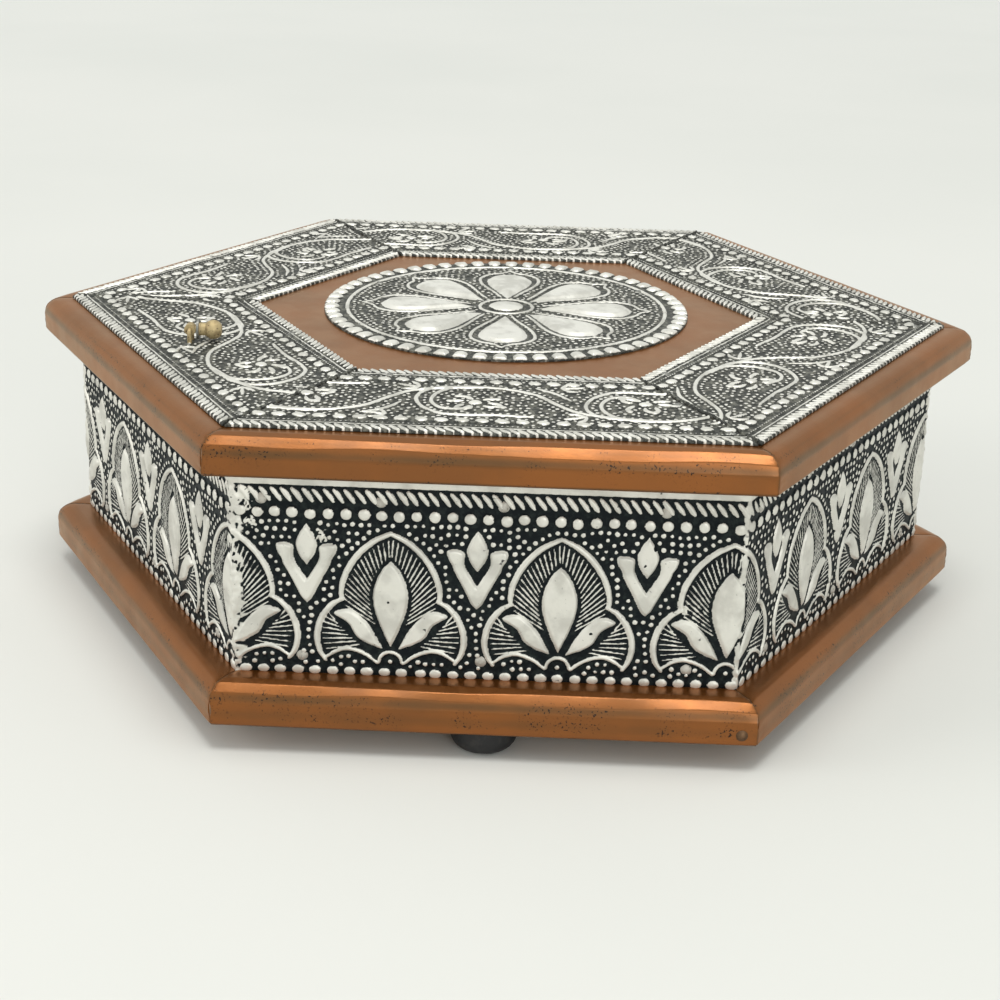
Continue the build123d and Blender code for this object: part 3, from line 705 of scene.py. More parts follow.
def sheet_mesh(name, front, back, values, folded=False):
    """front is rows x columns of points. back is its underside: only a folded sheet follows it all over."""
    rows, cols = front.shape[:2]
    index = np.arange(rows * cols).reshape(rows, cols)
    border = np.concatenate([index[0, :-1], index[:-1, -1], index[-1, :0:-1], index[:0:-1, 0]])
    quads = np.stack([index[:-1, :-1], index[:-1, 1:], index[1:, 1:], index[1:, :-1]], -1).reshape(-1, 4)
    below = np.arange(rows * cols) if folded else border
    under = rows * cols + (border if folded else np.arange(len(border)))
    rim = np.stack([np.roll(border, -1), border, under, np.roll(under, -1)], -1)
    closing = quads[:, ::-1] + rows * cols if folded else under[::-1][None]
    points = np.vstack([front.reshape(-1, 3), back.reshape(-1, 3)[below]]) * MM
    mesh = bpy.data.meshes.new(name)
    mesh.from_pydata(points.tolist(), [], np.vstack([quads, rim]).tolist() + closing.tolist())
    mesh.polygons.foreach_set("use_smooth", np.ones(len(mesh.polygons), bool))
    mesh.set_sharp_from_angle(angle=radians(75))
    for key, field in values.items():
        layer = mesh.attributes.new(key, "FLOAT", "POINT")
        field = np.concatenate([field.ravel(), field.ravel()[below]])
        layer.data.foreach_set("value", field.astype(np.float32))
    # the front takes most of the texture, and the rim and the back share a narrow edge of it
    places = np.stack(np.meshgrid(np.linspace(0, 1, cols), np.linspace(0, 0.94, rows)), -1).reshape(-1, 2)
    turn = np.arange(len(border)) / len(border)
    ring = np.stack([turn, turn, turn, turn], -1)
    ring = np.stack([ring, np.broadcast_to([0.955, 0.955, 0.97, 0.97], ring.shape)], -1).reshape(-1, 2)
    hidden = (quads[:, ::-1] if folded else border[::-1]).ravel()
    hidden = places[hidden] * (1, 0.02) + (0, 0.98)
    uv = np.vstack([places[quads.ravel()], ring, hidden])
    mesh.uv_layers.new(name="OFBake").uv.foreach_set("vector", uv.astype(np.float32).ravel())
    piece = bpy.data.objects.new(name, mesh)
    bpy.context.scene.collection.objects.link(piece)
    return piece

# %% [markdown]
# ## Putting a piece in its place
# A dressed piece hides the part of the model that it stands for and hangs from the body that carries it, so
# it moves with the lid or stays with the box. The sheets lie flat where a nail head holds them down, so the
# middle
# of every nail is found first: a group of nails is one mesh, and its separate solids share no edges.

# %% Place a piece
NAIL_CLEAR, NAIL_REACH, NAIL_SHINE = 1.35, 2.3, 0.1


def dress(piece, material, slot, body, *nodes):
    """Gives a piece its finish, hides the parts that it replaces and hangs it from the body that it moves
    with.
    """
    piece.data.materials.append(material)
    for node in nodes:
        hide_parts(node)
    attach(piece, body)
    return piece


def nail_dips(spots, points):
    """0 under each nail head and 1 away from it."""
    keep = np.ones(points.shape[:2])
    for spot in spots:
        away = np.linalg.norm(points - spot, axis=-1)
        keep = np.minimum(keep, smooth((away - NAIL_CLEAR) / (NAIL_REACH - NAIL_CLEAR)))
    return keep


def dulled(shine, bare):
    """Tin that a nail head presses down keeps its patina."""
    return shine * (NAIL_SHINE + (1 - NAIL_SHINE) * bare)


def middles(node):
    """The middle of each separate solid in a node, such as each nail of a group."""
    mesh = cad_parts[node].data
    parent = list(range(len(mesh.vertices)))

    def root(i):
        while parent[i] != i:
            parent[i] = parent[parent[i]]
            i = parent[i]
        return i

    lookup = {}
    for vertex in mesh.vertices:
        key = tuple(round(c * 1e5) for c in vertex.co)
        parent[root(vertex.index)] = root(lookup.setdefault(key, vertex.index))
    for edge in mesh.edges:
        parent[root(edge.vertices[0])] = root(edge.vertices[1])
    groups = {}
    for vertex in mesh.vertices:
        groups.setdefault(root(vertex.index), []).append(tuple(vertex.co))
    return [(np.array(group).min(0) + np.array(group).max(0)) / 2 / MM for group in groups.values()]

# %% [markdown]
# ## Finishes
# Each finish is a small node tree. Its patterns read the object's own coordinates, in metres, so they have
# their real scale and stay put in every view. A short helper keeps each tree readable.

# %% Node helpers
class Finish:
    """A material with a few short words for the nodes that it needs."""

    def __init__(self, name, **fixed):
        self.material = bpy.data.materials.new(name)
        self.material.use_nodes = True
        self.tree = self.material.node_tree
        self.shader = self.tree.nodes["Principled BSDF"]
        self.place = self.node("ShaderNodeTexCoord").outputs["Object"]
        for socket, value in fixed.items():
            self.shader.inputs[socket.replace("_", " ")].default_value = value

    def node(self, kind, inputs=(), **settings):
        made = self.tree.nodes.new(kind)
        for key, value in settings.items():
            setattr(made, key, value)
        for socket, value in dict(inputs).items():
            self.put(made.inputs[socket], value)
        return made

    def put(self, socket, value):
        if isinstance(value, bpy.types.NodeSocket):
            self.tree.links.new(value, socket)
        else:
            socket.default_value = value

    def noise(self, scale, detail=3.0, rough=0.55, stretch=None):
        place = self.place
        if stretch:
            place = self.node("ShaderNodeMapping", {"Vector": place, "Scale": stretch}).outputs[0]
        made = self.node(
            "ShaderNodeTexNoise", {"Vector": place, "Scale": scale, "Detail": detail, "Roughness": rough}
        )
        return made.outputs["Fac"]

    def ramp(self, value, low, high, start=0.0, end=1.0):
        """A soft step from start to end as value goes from low to high."""
        made = self.node(
            "ShaderNodeMapRange",
            {"Value": value, "From Min": low, "From Max": high, "To Min": start, "To Max": end},
            interpolation_type="SMOOTHSTEP",
        )
        return made.outputs["Result"]

    def math(self, kind, a, b=0.0):
        return self.node("ShaderNodeMath", {0: a, 1: b}, operation=kind).outputs[0]

    def mix(self, share, a, b):
        made = self.node("ShaderNodeMix", data_type="RGBA")
        for socket, value in ((0, share), (6, a), (7, b)):
            self.put(made.inputs[socket], value)
        return made.outputs[2]

    def bump(self, height, distance, strength=1.0, normal=None):
        made = self.node("ShaderNodeBump", {"Height": height, "Distance": distance, "Strength": strength})
        if normal:
            self.put(made.inputs["Normal"], normal)
        return made.outputs["Normal"]

    def use(self, **links):
        for socket, value in links.items():
            self.put(self.shader.inputs[socket.replace("_", " ")], value)
        return self.material

# %% [markdown]
# ## Blackened and rubbed tin
# The low ground keeps its dark patina and the high marks are rubbed back to pale metal. The brightness that
# was stored on the mesh decides between the two, and a little noise keeps the border from looking printed.

# %% Tin
TIN_DULL, TIN_SPECK = (0.60, 0.59, 0.54, 1), (0.10, 0.10, 0.09, 1)


def tin_finish(name, bright, patina, worn_patina, gloss):
    tin = Finish(name, Specular_IOR_Level=gloss)
    shine = tin.node("ShaderNodeAttribute", attribute_name="shine").outputs["Fac"]
    worn = tin.math("ADD", shine, tin.ramp(tin.noise(900, 2), 0.3, 0.7, -0.16, 0.16))
    rubbed = tin.ramp(worn, 0.36, 0.66)
    pale = tin.mix(tin.ramp(tin.noise(160, 4), 0.42, 0.66), bright, TIN_DULL)
    specks = tin.ramp(tin.noise(1500, 2, 0.6), 0.70, 0.76)
    pale = tin.mix(tin.math("MULTIPLY", specks, 0.5), pale, TIN_SPECK)
    dark = tin.mix(tin.ramp(tin.noise(700, 4, 0.65), 0.45, 0.65), patina, worn_patina)
    uneven = tin.math("ADD", rubbed, tin.ramp(tin.noise(300), 0.3, 0.7, -0.3, 0.3))
    return tin.use(
        Base_Color=tin.mix(rubbed, dark, pale),
        Metallic=tin.math("MULTIPLY", rubbed, 0.45),
        Roughness=tin.ramp(uneven, 0, 1, 0.5, 0.42),
        Normal=tin.bump(tin.noise(2200, 3, 0.6), 0.00004, 0.6),
    )


side_tin_material = tin_finish(
    "side_tin", (0.76, 0.75, 0.69, 1), (0.004, 0.007, 0.009, 1), (0.014, 0.020, 0.020, 1), 0.12
)
# the lid's ground is greyer and lighter than the side's: partly its own patina, partly a painted sheen of a
# top seen at a grazing angle
lid_tin_material = tin_finish(
    "lid_tin", (0.79, 0.78, 0.725, 1), (0.03, 0.032, 0.028, 1), (0.16, 0.16, 0.135, 1), 0.25
)
print("tin finishes:", side_tin_material.name, "and", lid_tin_material.name)

# %% [markdown]
# ## Wrap the band and lay the strips
# The side strip is cut at the six corners and each length follows its wall. A point that is lifted moves
# straight out from its wall, and near a corner it follows the mitre, so two sides meet without a gap. The
# relief lies flat under nail heads and hinges.

# %% Side panels
HINGE_ROOM, SIDE_TIN_T = 1.0, 0.3
side_nails = middles("side_band_nails")
hinge_boxes = [[np.array(c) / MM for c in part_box(f"hinge_leaf_body_{hand}")] for hand in ("left", "right")]
strip = side_strip()
cols, rows = round(SIDE_LEN / GRID), round((SIDE_HIGH - SIDE_LOW) / GRID)
for number, (side, angle) in enumerate(SIDES.items()):
    t, z = np.meshgrid(
        np.linspace(-SIDE_LEN / 2, SIDE_LEN / 2, cols), np.linspace(SIDE_LOW, SIDE_HIGH, rows)
    )
    lift, shine = read(strip, (number + 0.5) * SIDE_LEN + t, z)

    def at(height):
        reach = WALL_SKIN_R + height
        return on_side(angle, reach, t * reach / WALL_SKIN_R, z)

    flat = at(np.zeros_like(t))
    bare = nail_dips(side_nails, flat)
    lift = AT_REST + lift * bare
    for low, high in hinge_boxes:
        beyond = np.maximum(low - flat, flat - high)[..., (0, 2)].max(-1)
        if side == "back":
            lift = np.minimum(lift, np.where(beyond < HINGE_ROOM, 0.0, 9.0))
    values = {"shine": dulled(shine, bare)}
    panel = sheet_mesh(f"side_tin_{side}", at(lift), at(np.full_like(t, -SIDE_TIN_T)), values)
    dress(panel, side_tin_material, "embossed_tin", "box", "side_band")
print("side panel faces:", len(panel.data.polygons))

# %% [markdown]
# ## Six strips on the lid
# Each strip was cut from punched tin with slanted ends and nailed down, and no two mitres on a lid made by
# hand close in the same way. So the ends of each strip wobble a little and keep a narrow gap, with a soft
# lip beside it and a painted shade that darkens the tin next to the gap. The layout says where the vine's
# flowers fall, since the drawing isn't centred on any strip.

# %% Lid strips
LIP_H, LIP_AT, LIP_W = 0.14, 0.35, 0.3
# place of one flower, distance to the next, which way up, which way round
STRIP_LAYOUT = {
    "front": (-20.0, 39.5, 1, 1), "front_right": (-4.0, 35.5, 1, -1), "back_right": (-17.5, 39.5, 1, 1),
    "back": (2.0, 37.0, 1, 1), "back_left": (-8.0, 37.0, 1, -1), "front_left": (20.0, 38.0, 1, 1),
}
SEAM, SEAM_WOBBLE = 0.16, 0.16
lid_nails = middles("lid_band_nails")
staple = np.array([(low + high) / 2 for low, high in zip(*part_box("pull_staple"))]) / MM
for number, (side, angle) in enumerate(SIDES.items()):
    plate, dots = lid_strip(30 + number, *STRIP_LAYOUT[side])
    rng = np.random.default_rng(60 + number)
    cols, rows = round(2 * STRIP_OUT_R * tan(HALF_CORNER) / GRID * 0.95), round(STRIP_W / GRID)
    share, v = np.meshgrid(np.linspace(-1, 1, cols), np.linspace(0, STRIP_W, rows))
    wobble = np.where(share < 0, cloudy(share.shape, 9, rng)[:, :1], cloudy(share.shape, 9, rng)[:, -1:])
    half = (STRIP_OUT_R - v) * tan(HALF_CORNER) - SEAM - SEAM_WOBBLE * (1 + wobble)
    u = share * half
    mitre = (half - np.abs(u)) * cos(HALF_CORNER)
    edge = np.minimum(np.minimum(v, STRIP_W - v), mitre)
    flat = on_side(angle, STRIP_OUT_R - v, u, LID_TIN_Z)
    bare = nail_dips([*lid_nails, (*staple[:2], LID_TIN_Z)], flat)
    lift, shine = read(plate, u, v)
    lip = LIP_H * np.exp(-((mitre - LIP_AT) / LIP_W) ** 2)
    lift = (AT_REST + lift * bare + lip) * smooth((edge + 0.12) / 0.4) - 0.05 * (1 - smooth(edge / 0.25))
    # the rubbed shine fades out near the mitre: a painted shade beside the seam
    shine = dulled(shine, bare) * smooth((mitre - 0.1) / 0.4)
    front = flat + UP * lift[..., None]
    piece = sheet_mesh(f"lid_tin_{side}", front, flat - TIN_T * UP, {"shine": shine})
    dress(piece, lid_tin_material, "embossed_tin", "lid", f"lid_band_{side}")
    print(side, "dots", dots)

# %% [markdown]
# ## Lay the medallion
# A square grid would leave its corners outside a round plate, and rings of faces would crowd together at
# the middle. So the square grid is bent into a disc, which keeps its faces nearly even all over.

# %% Medallion
medallion_low, medallion_high = (np.array(corner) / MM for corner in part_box("medallion"))
centre = (medallion_low + medallion_high) / 2
radius = (medallion_high[0] - medallion_low[0]) / 2
plate, dots = medallion_plate(radius)
MEDALLION_COUNT = 312
a, b = np.meshgrid(*[np.linspace(-1, 1, MEDALLION_COUNT)] * 2)
x, y = radius * a * np.sqrt(1 - b**2 / 2), radius * b * np.sqrt(1 - a**2 / 2)
flat = np.stack([centre[0] + x, centre[1] + y, np.full_like(x, LID_TIN_Z)], -1)
edge = radius - np.hypot(x, y)
bare = nail_dips(middles("medallion_nails"), flat)
lift, shine = read(plate, x, y)
lift = np.maximum((AT_REST + lift * bare) * smooth((edge + 0.25) / 0.5), 0.0)
values = {"shine": dulled(shine, bare)}
medallion = sheet_mesh("medallion_tin", flat + UP * lift[..., None], flat - TIN_T * UP, values)
dress(medallion, lid_tin_material, "embossed_tin", "lid", "medallion")
print("medallion radius", round(radius, 2), "dots", dots)

# %% [markdown]
# ## Copper
# The copper is thin sheet that was folded over the boards, lacquered once and long since darkened by hands.
# Clouds of brown tarnish, fine scratches along the folds and small dark pits give it its age. Bands of
# painted reflection along each fold, dark brown and orange, stand for the room and the table mirrored in it.

# %% Copper
COPPER_BRIGHT, COPPER_MID = (0.27, 0.092, 0.017, 1), (0.22, 0.079, 0.017, 1)
COPPER_REFLECTION_AND_SEAM_DARK, COPPER_PIT = (0.085, 0.042, 0.010, 1), (0.012, 0.005, 0.002, 1)
COPPER_TABLE_REFLECTION = (0.36, 0.095, 0.010, 1)


def copper_finish():
    copper = Finish(
        "old_copper", IOR=1.5, Specular_Tint=(1, 0.9, 0.74, 1),
        Coat_Weight=0.4, Coat_Roughness=0.28, Coat_Tint=(1, 0.89, 0.68, 1),
    )
    tone = copper.node("ShaderNodeAttribute", attribute_name="tone").outputs["Fac"]
    clouds = copper.ramp(copper.noise(45, 5), 0.35, 0.65)
    colour = copper.mix(clouds, COPPER_BRIGHT, COPPER_MID)
    # below zero the stored value paints an orange reflection of the table
    colour = copper.mix(copper.ramp(tone, 0, -0.5), colour, COPPER_TABLE_REFLECTION)
    streaks = copper.ramp(copper.noise(90, 4, 0.55, (1, 1, 4)), 0.3, 0.7, -0.08, 0.08)
    # above zero it paints the dark band that stands for the dim room mirrored in the fold, and the darker
    # copper at each mitre
    reflection_and_seam_dark = copper.ramp(copper.math("ADD", tone, streaks), 0.0, 1.0)
    colour = copper.mix(copper.math("MULTIPLY", reflection_and_seam_dark, 0.8), colour, COPPER_REFLECTION_AND_SEAM_DARK)
    spotted = copper.math("ABSOLUTE", tone)
    pits = copper.ramp(copper.noise(1900, 2, 0.5), 0.60, 0.65)
    clusters = copper.ramp(copper.noise(110, 3), 0.45, 0.58)
    clusters = copper.math("MULTIPLY", clusters, copper.ramp(spotted, 0.02, 0.3, 0.15, 1))
    pits = copper.math("MULTIPLY", pits, clusters)
    colour = copper.mix(pits, colour, COPPER_PIT)
    grain = copper.bump(copper.noise(1800, 3, 0.6), 0.00005, 0.4)
    return copper.use(
        Base_Color=colour,
        # the painted dark bands are also a little less metallic
        Metallic=copper.ramp(reflection_and_seam_dark, 0, 1, 0.8, 0.6),
        Roughness=copper.ramp(copper.noise(120, 4), 0.3, 0.7, 0.3, 0.42),
        Normal=grain,
    )

# %% [markdown]
# ## Wood, cloth, rubber and plain metal
# The bare edges of the boards show when the lid is open, and so does the lining. Nails, hinges and the
# pull are small, so one recipe serves them all: a clean tone, a dull one and dark specks. Only the colours
# and the gloss differ.

# %% The other finishes
def wood_finish():
    wood = Finish("board_wood", Roughness=0.6)
    grain = wood.noise(60, 6, 0.6, (1.2, 14, 14))
    colour = wood.mix(wood.ramp(grain, 0.35, 0.65), (0.36, 0.21, 0.11, 1), (0.17, 0.09, 0.045, 1))
    return wood.use(Base_Color=colour, Normal=wood.bump(grain, 0.0002, 0.4))


def cloth_finish():
    cloth = Finish("burgundy_cloth", Roughness=0.9, Sheen_Weight=0.12)
    fuzz = cloth.noise(2500, 3, 0.6)
    clouds = cloth.ramp(cloth.noise(70, 4), 0.35, 0.65)
    colour = cloth.mix(clouds, (0.14, 0.012, 0.020, 1), (0.105, 0.009, 0.015, 1))
    colour = cloth.mix(cloth.ramp(fuzz, 0.4, 0.7), colour, (0.22, 0.03, 0.04, 1))
    return cloth.use(Base_Color=colour, Normal=cloth.bump(fuzz, 0.0002, 0.5))


def rubber_finish():
    rubber = Finish("foot_rubber", Specular_IOR_Level=0.35)
    dust = rubber.ramp(rubber.noise(400, 4), 0.5, 0.75)
    return rubber.use(
        Base_Color=rubber.mix(dust, (0.012, 0.012, 0.013, 1), (0.04, 0.038, 0.035, 1)),
        Roughness=rubber.ramp(dust, 0, 1, 0.45, 0.8),
        Normal=rubber.bump(rubber.noise(1500, 2), 0.00005, 0.5),
    )


# a plain metal: its clean, dull and dark tone, how rough it is, and how metallic
METALS = {
    "aged_brass": ((0.52, 0.41, 0.22, 1), (0.36, 0.27, 0.14, 1), (0.10, 0.07, 0.04, 1), 0.5, 0.55),
    "hinge_brass": ((0.46, 0.34, 0.15, 1), (0.37, 0.27, 0.12, 1), (0.25, 0.18, 0.08, 1), 0.4, 0.85),
    "dull_steel": ((0.52, 0.50, 0.45, 1), (0.40, 0.38, 0.34, 1), (0.16, 0.15, 0.13, 1), 0.5, 0.3),
    "dull_nail": ((0.17, 0.10, 0.055, 1), (0.11, 0.065, 0.036, 1), (0.03, 0.018, 0.01, 1), 0.5, 0.9),
    "grey_washer": ((0.30, 0.30, 0.28, 1), (0.18, 0.18, 0.16, 1), (0.05, 0.05, 0.04, 1), 0.45, 0.9),
}


def metal_finish(name, clean, dull, dark, rough, metallic):
    metal = Finish(name, Metallic=metallic)
    colour = metal.mix(metal.ramp(metal.noise(600, 4), 0.4, 0.65), clean, dull)
    colour = metal.mix(metal.ramp(metal.noise(1500, 3), 0.58, 0.72), colour, dark)
    return metal.use(
        Base_Color=colour,
        Roughness=metal.ramp(metal.noise(900, 3), 0.3, 0.7, rough - 0.06, rough + 0.12),
        Normal=metal.bump(metal.noise(2600, 3), 0.00003, 0.5),
    )


copper_material, wood_material = copper_finish(), wood_finish()
cloth_material, rubber_material = cloth_finish(), rubber_finish()
print("other finishes:", copper_material.name, wood_material.name, cloth_material.name, rubber_material.name)
metals = {name: metal_finish(name, *tones) for name, tones in METALS.items()}
print("plain metals:", *metals)

# %% [markdown]
# ## Copper folded over the edges
# On the real box one strip of copper covers each edge of the lid and of the plinth. It was bent over the
# board by hand, so it has flats between soft creases, shallow waves and a rough mitre at each corner. Each
# strip is a profile that starts under the board, goes round the outside and ends on top, and the creases
# wander a little along the side. All of it stays within the half millimetre of the model's own copper.

# %% Shape of a folded edge
EDGE_R = -span("lid_trim_front", 1)[0]
SHEET_T = np.ptp(span("lid_sheet", 2))
TURNED_IN_R, LOW_ROUND, TOP_ROUND = 93.6, 0.8, 4.0
EDGE_COLS = 300
EDGE_STEPS = {"under": 5, "low": 7, "face": 26, "round": 34, "top": 14}
# corners that came open: the edge, the corner's angle, how far it gapes, at what height, over what height
OPEN_SEAMS = [("lid", -60, 0.30, 65.6, 2.2), ("plinth", -60, 0.55, 9.6, 1.7), ("plinth", 0, 0.3, 11.5, 1.4)]
# bands of painted reflection: how dark, at what height, how wide; a dark band stands for the dim room
# mirrored in the fold, and below zero is a painted orange reflection of the table
PAINTED_REFLECTION_BANDS = {
    "lid": [(0.9, 66.6, 1.0), (0.7, 61.9, 0.35), (-0.45, 63.7, 1.0), (0.3, 68.9, 0.3)],
    "plinth": [(0.8, 12.6, 1.1), (0.4, 9.0, 1.5), (-0.3, 6.9, 0.6)],
}
# how flat the sheet lies between its creases; the other sides are rounder
FLATNESS, FLATNESS_ELSEWHERE = {"front_right": 0.9}, 0.25


def fold(flatness, low, high, top_in_r, cols, rng):
    """Distance from the middle, height and normal of each point of a folded edge."""
    one = np.ones(cols)
    crease = [radians(d) + radians(7) * cloudy((1, cols), 45, rng)[0] for d in (90, 64, 31, 0)]
    crease[0], crease[-1] = radians(90) * one, 0 * one
    r, z, nr, nz = [], [], [], []

    def row(r_row, z_row, turn):
        r.append(r_row * one)
        z.append(z_row * one)
        nr.append(cos(turn) * one)
        nz.append(sin(turn) * one)

    for share in np.linspace(0, 1, EDGE_STEPS["under"], endpoint=False):
        row(TURNED_IN_R + share * (EDGE_R - LOW_ROUND - TURNED_IN_R), low, -pi / 2)
    for turn in np.linspace(-pi / 2, 0, EDGE_STEPS["low"], endpoint=False):
        row(EDGE_R - LOW_ROUND + LOW_ROUND * cos(turn), low + LOW_ROUND + LOW_ROUND * sin(turn), turn)
    for share in np.linspace(0, 1, EDGE_STEPS["face"], endpoint=False):
        row(EDGE_R, low + LOW_ROUND + share * (high - TOP_ROUND - low - LOW_ROUND), 0.0)
    for turn in np.linspace(0, pi / 2, EDGE_STEPS["round"], endpoint=False):
        flat_r = one * 0
        for above, below in zip(crease, crease[1:]):
            here = (turn <= above) & (turn >= below)
            chord = TOP_ROUND * np.cos((above - below) / 2) / np.cos(turn - (above + below) / 2)
            flat_r = np.where(here, chord, flat_r)
        reach = flatness * flat_r + (1 - flatness) * TOP_ROUND
        row(EDGE_R - TOP_ROUND + reach * cos(turn), high - TOP_ROUND + reach * sin(turn), turn)
    for share in np.linspace(0, 1, EDGE_STEPS["top"]):
        row(EDGE_R - TOP_ROUND + share * (top_in_r - EDGE_R + TOP_ROUND), high, pi / 2)
    return (np.array(rows) for rows in (r, z, nr, nz))

# %% [markdown]
# ## One strip of copper
# Hand work shows as shallow dents and a crumpled stretch near each mitre. The dents only ever go inwards, so
# the strip never grows past the model. Bands of painted reflection run along the fold: dark where the fold
# stands for the dim room mirrored in it, orange where it stands for the table, and the copper is also darker
# towards each mitre. These painted bands are stored on the mesh as one value.

# %% Fold the copper
def copper_edge(edge, side, low, high, top_in_r, rng):
    angle = SIDES[side]
    r, z, nr, nz = fold(FLATNESS.get(side, FLATNESS_ELSEWHERE), low, high, top_in_r, EDGE_COLS, rng)
    shape = r.shape
    share = np.linspace(-1, 1, EDGE_COLS)
    gap = np.empty(shape)
    for end in (-1, 1):
        wide = 0.07 + 0.05 * cloudy(shape, 5, rng)[:, :1] + 0.05 * cloudy(shape, 14, rng)[:, :1]
        for where, corner, gape, at_z, tall in OPEN_SEAMS:
            if where == edge and (angle + 30 * end - corner) % 360 == 0:
                wide = wide + gape * np.exp(-(((z[:, :1] - at_z) / tall) ** 2)) * (r[:, :1] > EDGE_R - 2)
        gap[:, share * end >= 0] = wide
    t = share * (r * tan(HALF_CORNER) - gap)
    corner = r * tan(HALF_CORNER) - np.abs(t)
    crumple = np.exp(-((corner / 2.2) ** 2))
    dent = 0.03 + 0.035 * (1 + cloudy(shape, 55, rng)) + 0.012 * (1 + cloudy(shape, 13, rng))
    dent += crumple * 0.07 * (1 + cloudy(shape, 6, rng)) + 0.12 * np.exp(-corner / 0.3)
    dent *= z > low + 0.05
    # painted reflection bands along the fold: dark for the dim room, below zero orange for the table
    tone = sum(dark * np.exp(-(((z - at_z) / tall) ** 2)) for dark, at_z, tall in PAINTED_REFLECTION_BANDS[edge])
    tone = tone * (r > EDGE_R - 3.4) * (0.9 + 0.22 * cloudy(shape, 40, rng) + 0.1 * cloudy(shape, 9, rng))
    # darker towards each mitre
    tone = np.maximum(tone, 0.9 * np.exp(-corner / 0.35))

    def push(depth):
        return on_side(angle, r - depth * nr, t, z - depth * nz)

    front, back = push(dent), push(0 * dent + SHEET_T)
    piece = sheet_mesh(f"{edge}_copper_{side}", front, back, {"tone": tone}, folded=True)
    body = "lid" if edge == "lid" else "box"
    return dress(piece, copper_material, "copper_sheet", body, f"{edge}_trim_{side}")


for number, side in enumerate(SIDES):
    for edge in ("lid", "plinth"):
        top_in_r = span(f"{edge}_trim_front", 1)[1] * -1
        rng = np.random.default_rng(90 + number)
        piece = copper_edge(edge, side, *span(f"{edge}_trim_front", 2), top_in_r, rng)
print("copper edges:", 2 * len(SIDES), "faces each:", len(piece.data.polygons))

# %% [markdown]
# ## The lining
# The inside is hidden in the photo, so the lining is a guess: felt on the floor, on the walls and under the
# lid, cut to shape and glued. It is thin cloth with a slight unevenness. A cloth simulation would only lie
# still on these flat boards, so the shapes are drawn directly.

# %% Lay the cloth
CLOTH_T, CLOTH_CLEAR = 0.5, 0.02
CLOTH_GRID, WALL_CLOTH_GRID = (150, 170), (50, 720)


def cloth_hexagon(name, flats, z, thick, up, rng):
    """A flat six-sided cloth, drawn row by row between its two slanted edges."""
    rows, cols = CLOTH_GRID
    y, share = np.meshgrid(np.linspace(-flats, flats, rows), np.linspace(-1, 1, cols), indexing="ij")
    x = share * (2 * flats / 3**0.5 - np.abs(y) / 3**0.5) * up
    edge = np.minimum((1 - np.abs(share)) * 40, flats - np.abs(y))
    wave = (0.14 * (1 + cloudy(x.shape, 22, rng)) + 0.05 * (1 + cloudy(x.shape, 5, rng))) * smooth(edge / 3)
    front = np.stack([x, y, z + up * wave], -1)
    return sheet_mesh(name, front, front - (0, 0, up * thick), {}, folded=True)


rng = np.random.default_rng(77)
floor_r, floor_low = span("floor_lining", 1)[1], span("floor_lining", 2)[0]
floor_cloth = cloth_hexagon("floor_cloth", floor_r, floor_low + CLOTH_T, CLOTH_T, 1, rng)
dress(floor_cloth, cloth_material, "lining_cloth", "box", "floor_lining")
lid_r, lid_high = span("lid_lining", 1)[1], span("lid_lining", 2)[1]
lid_cloth = cloth_hexagon("lid_cloth", lid_r, lid_high - CLOTH_T, CLOTH_T - CLOTH_CLEAR, -1, rng)
dress(lid_cloth, cloth_material, "lining_cloth", "lid", "lid_lining")
print("cloth across the flats: floor", round(2 * floor_r, 1), "lid", round(2 * lid_r, 1))

# %% [markdown]
# ## The cloth on the walls
# One long strip of cloth goes round the six walls, with its seam in a corner. Each column of its grid is set
# on its own wall, so the strip is as long as the walls are and turns sharply in the corners.

# %% Line the walls
wall_low, wall_high = span("wall_lining", 2)
wall_out_r = span("wall_lining", 1)[1]
side_len = 2 * wall_out_r * tan(HALF_CORNER)
rows, cols = WALL_CLOTH_GRID
place, z = np.meshgrid(np.linspace(0.002, 5.998, cols), np.linspace(wall_low, wall_high, rows))
angles = [list(SIDES.values())[int(p)] for p in place[0]]
across = (place - np.floor(place) - 0.5) * side_len
bulge = 0.05 * (1 + cloudy(place.shape, 18, rng)) * smooth((0.5 - np.abs(across) / side_len) * 12)


def wall_at(inward):
    r = wall_out_r - CLOTH_CLEAR - inward
    return on_side(angles, r, across * r / wall_out_r, z)[:, ::-1]


wall_cloth = sheet_mesh("wall_cloth", wall_at(CLOTH_T + bulge), wall_at(0 * bulge), {}, folded=True)
dress(wall_cloth, cloth_material, "lining_cloth", "box", "wall_lining")
print("cloth for the walls:", round(6 * side_len, 1), "by", round(wall_high - wall_low, 1))

# %% [markdown]
# ## Finishes for the parts that keep their shape
# Boards, the flat copper, nails and hinges already have the right form in the model, so they only get a
# finish.

# %% Assign the finishes
FINISH_OF = {
    "base_board": wood_material, "lid_board": wood_material, "wall_": wood_material,
    "lid_sheet": copper_material,
    "plinth_nails": metals["dull_nail"], "side_band_nails": metals["dull_steel"],
    "lid_band_nails": metals["grey_washer"], "medallion_nails": metals["grey_washer"],
    "foot_": rubber_material, "hinge_": metals["hinge_brass"],
    "pull_knob": metals["aged_brass"], "pull_staple": metals["aged_brass"],
    "pull_washer": metals["grey_washer"],
}
for name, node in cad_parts.items():
    fits = [start for start in FINISH_OF if name.startswith(start)]
    if fits:
        for place in node.material_slots:
            place.material = FINISH_OF[max(fits, key=len)]
print("finishes:", sorted({material.name for material in FINISH_OF.values()}))

# %% [markdown]
# ## Floor, light and surroundings
# The box stands on a plain pale table in soft light. One wide lamp hangs over the box, so that its shadow
# falls straight below the plinth, and two low lamps light the sides. Pale surroundings fill the rest. The
# background white comes from rays that the camera, or a polished surface, sends past the box, so it adds
# no light to the box itself.

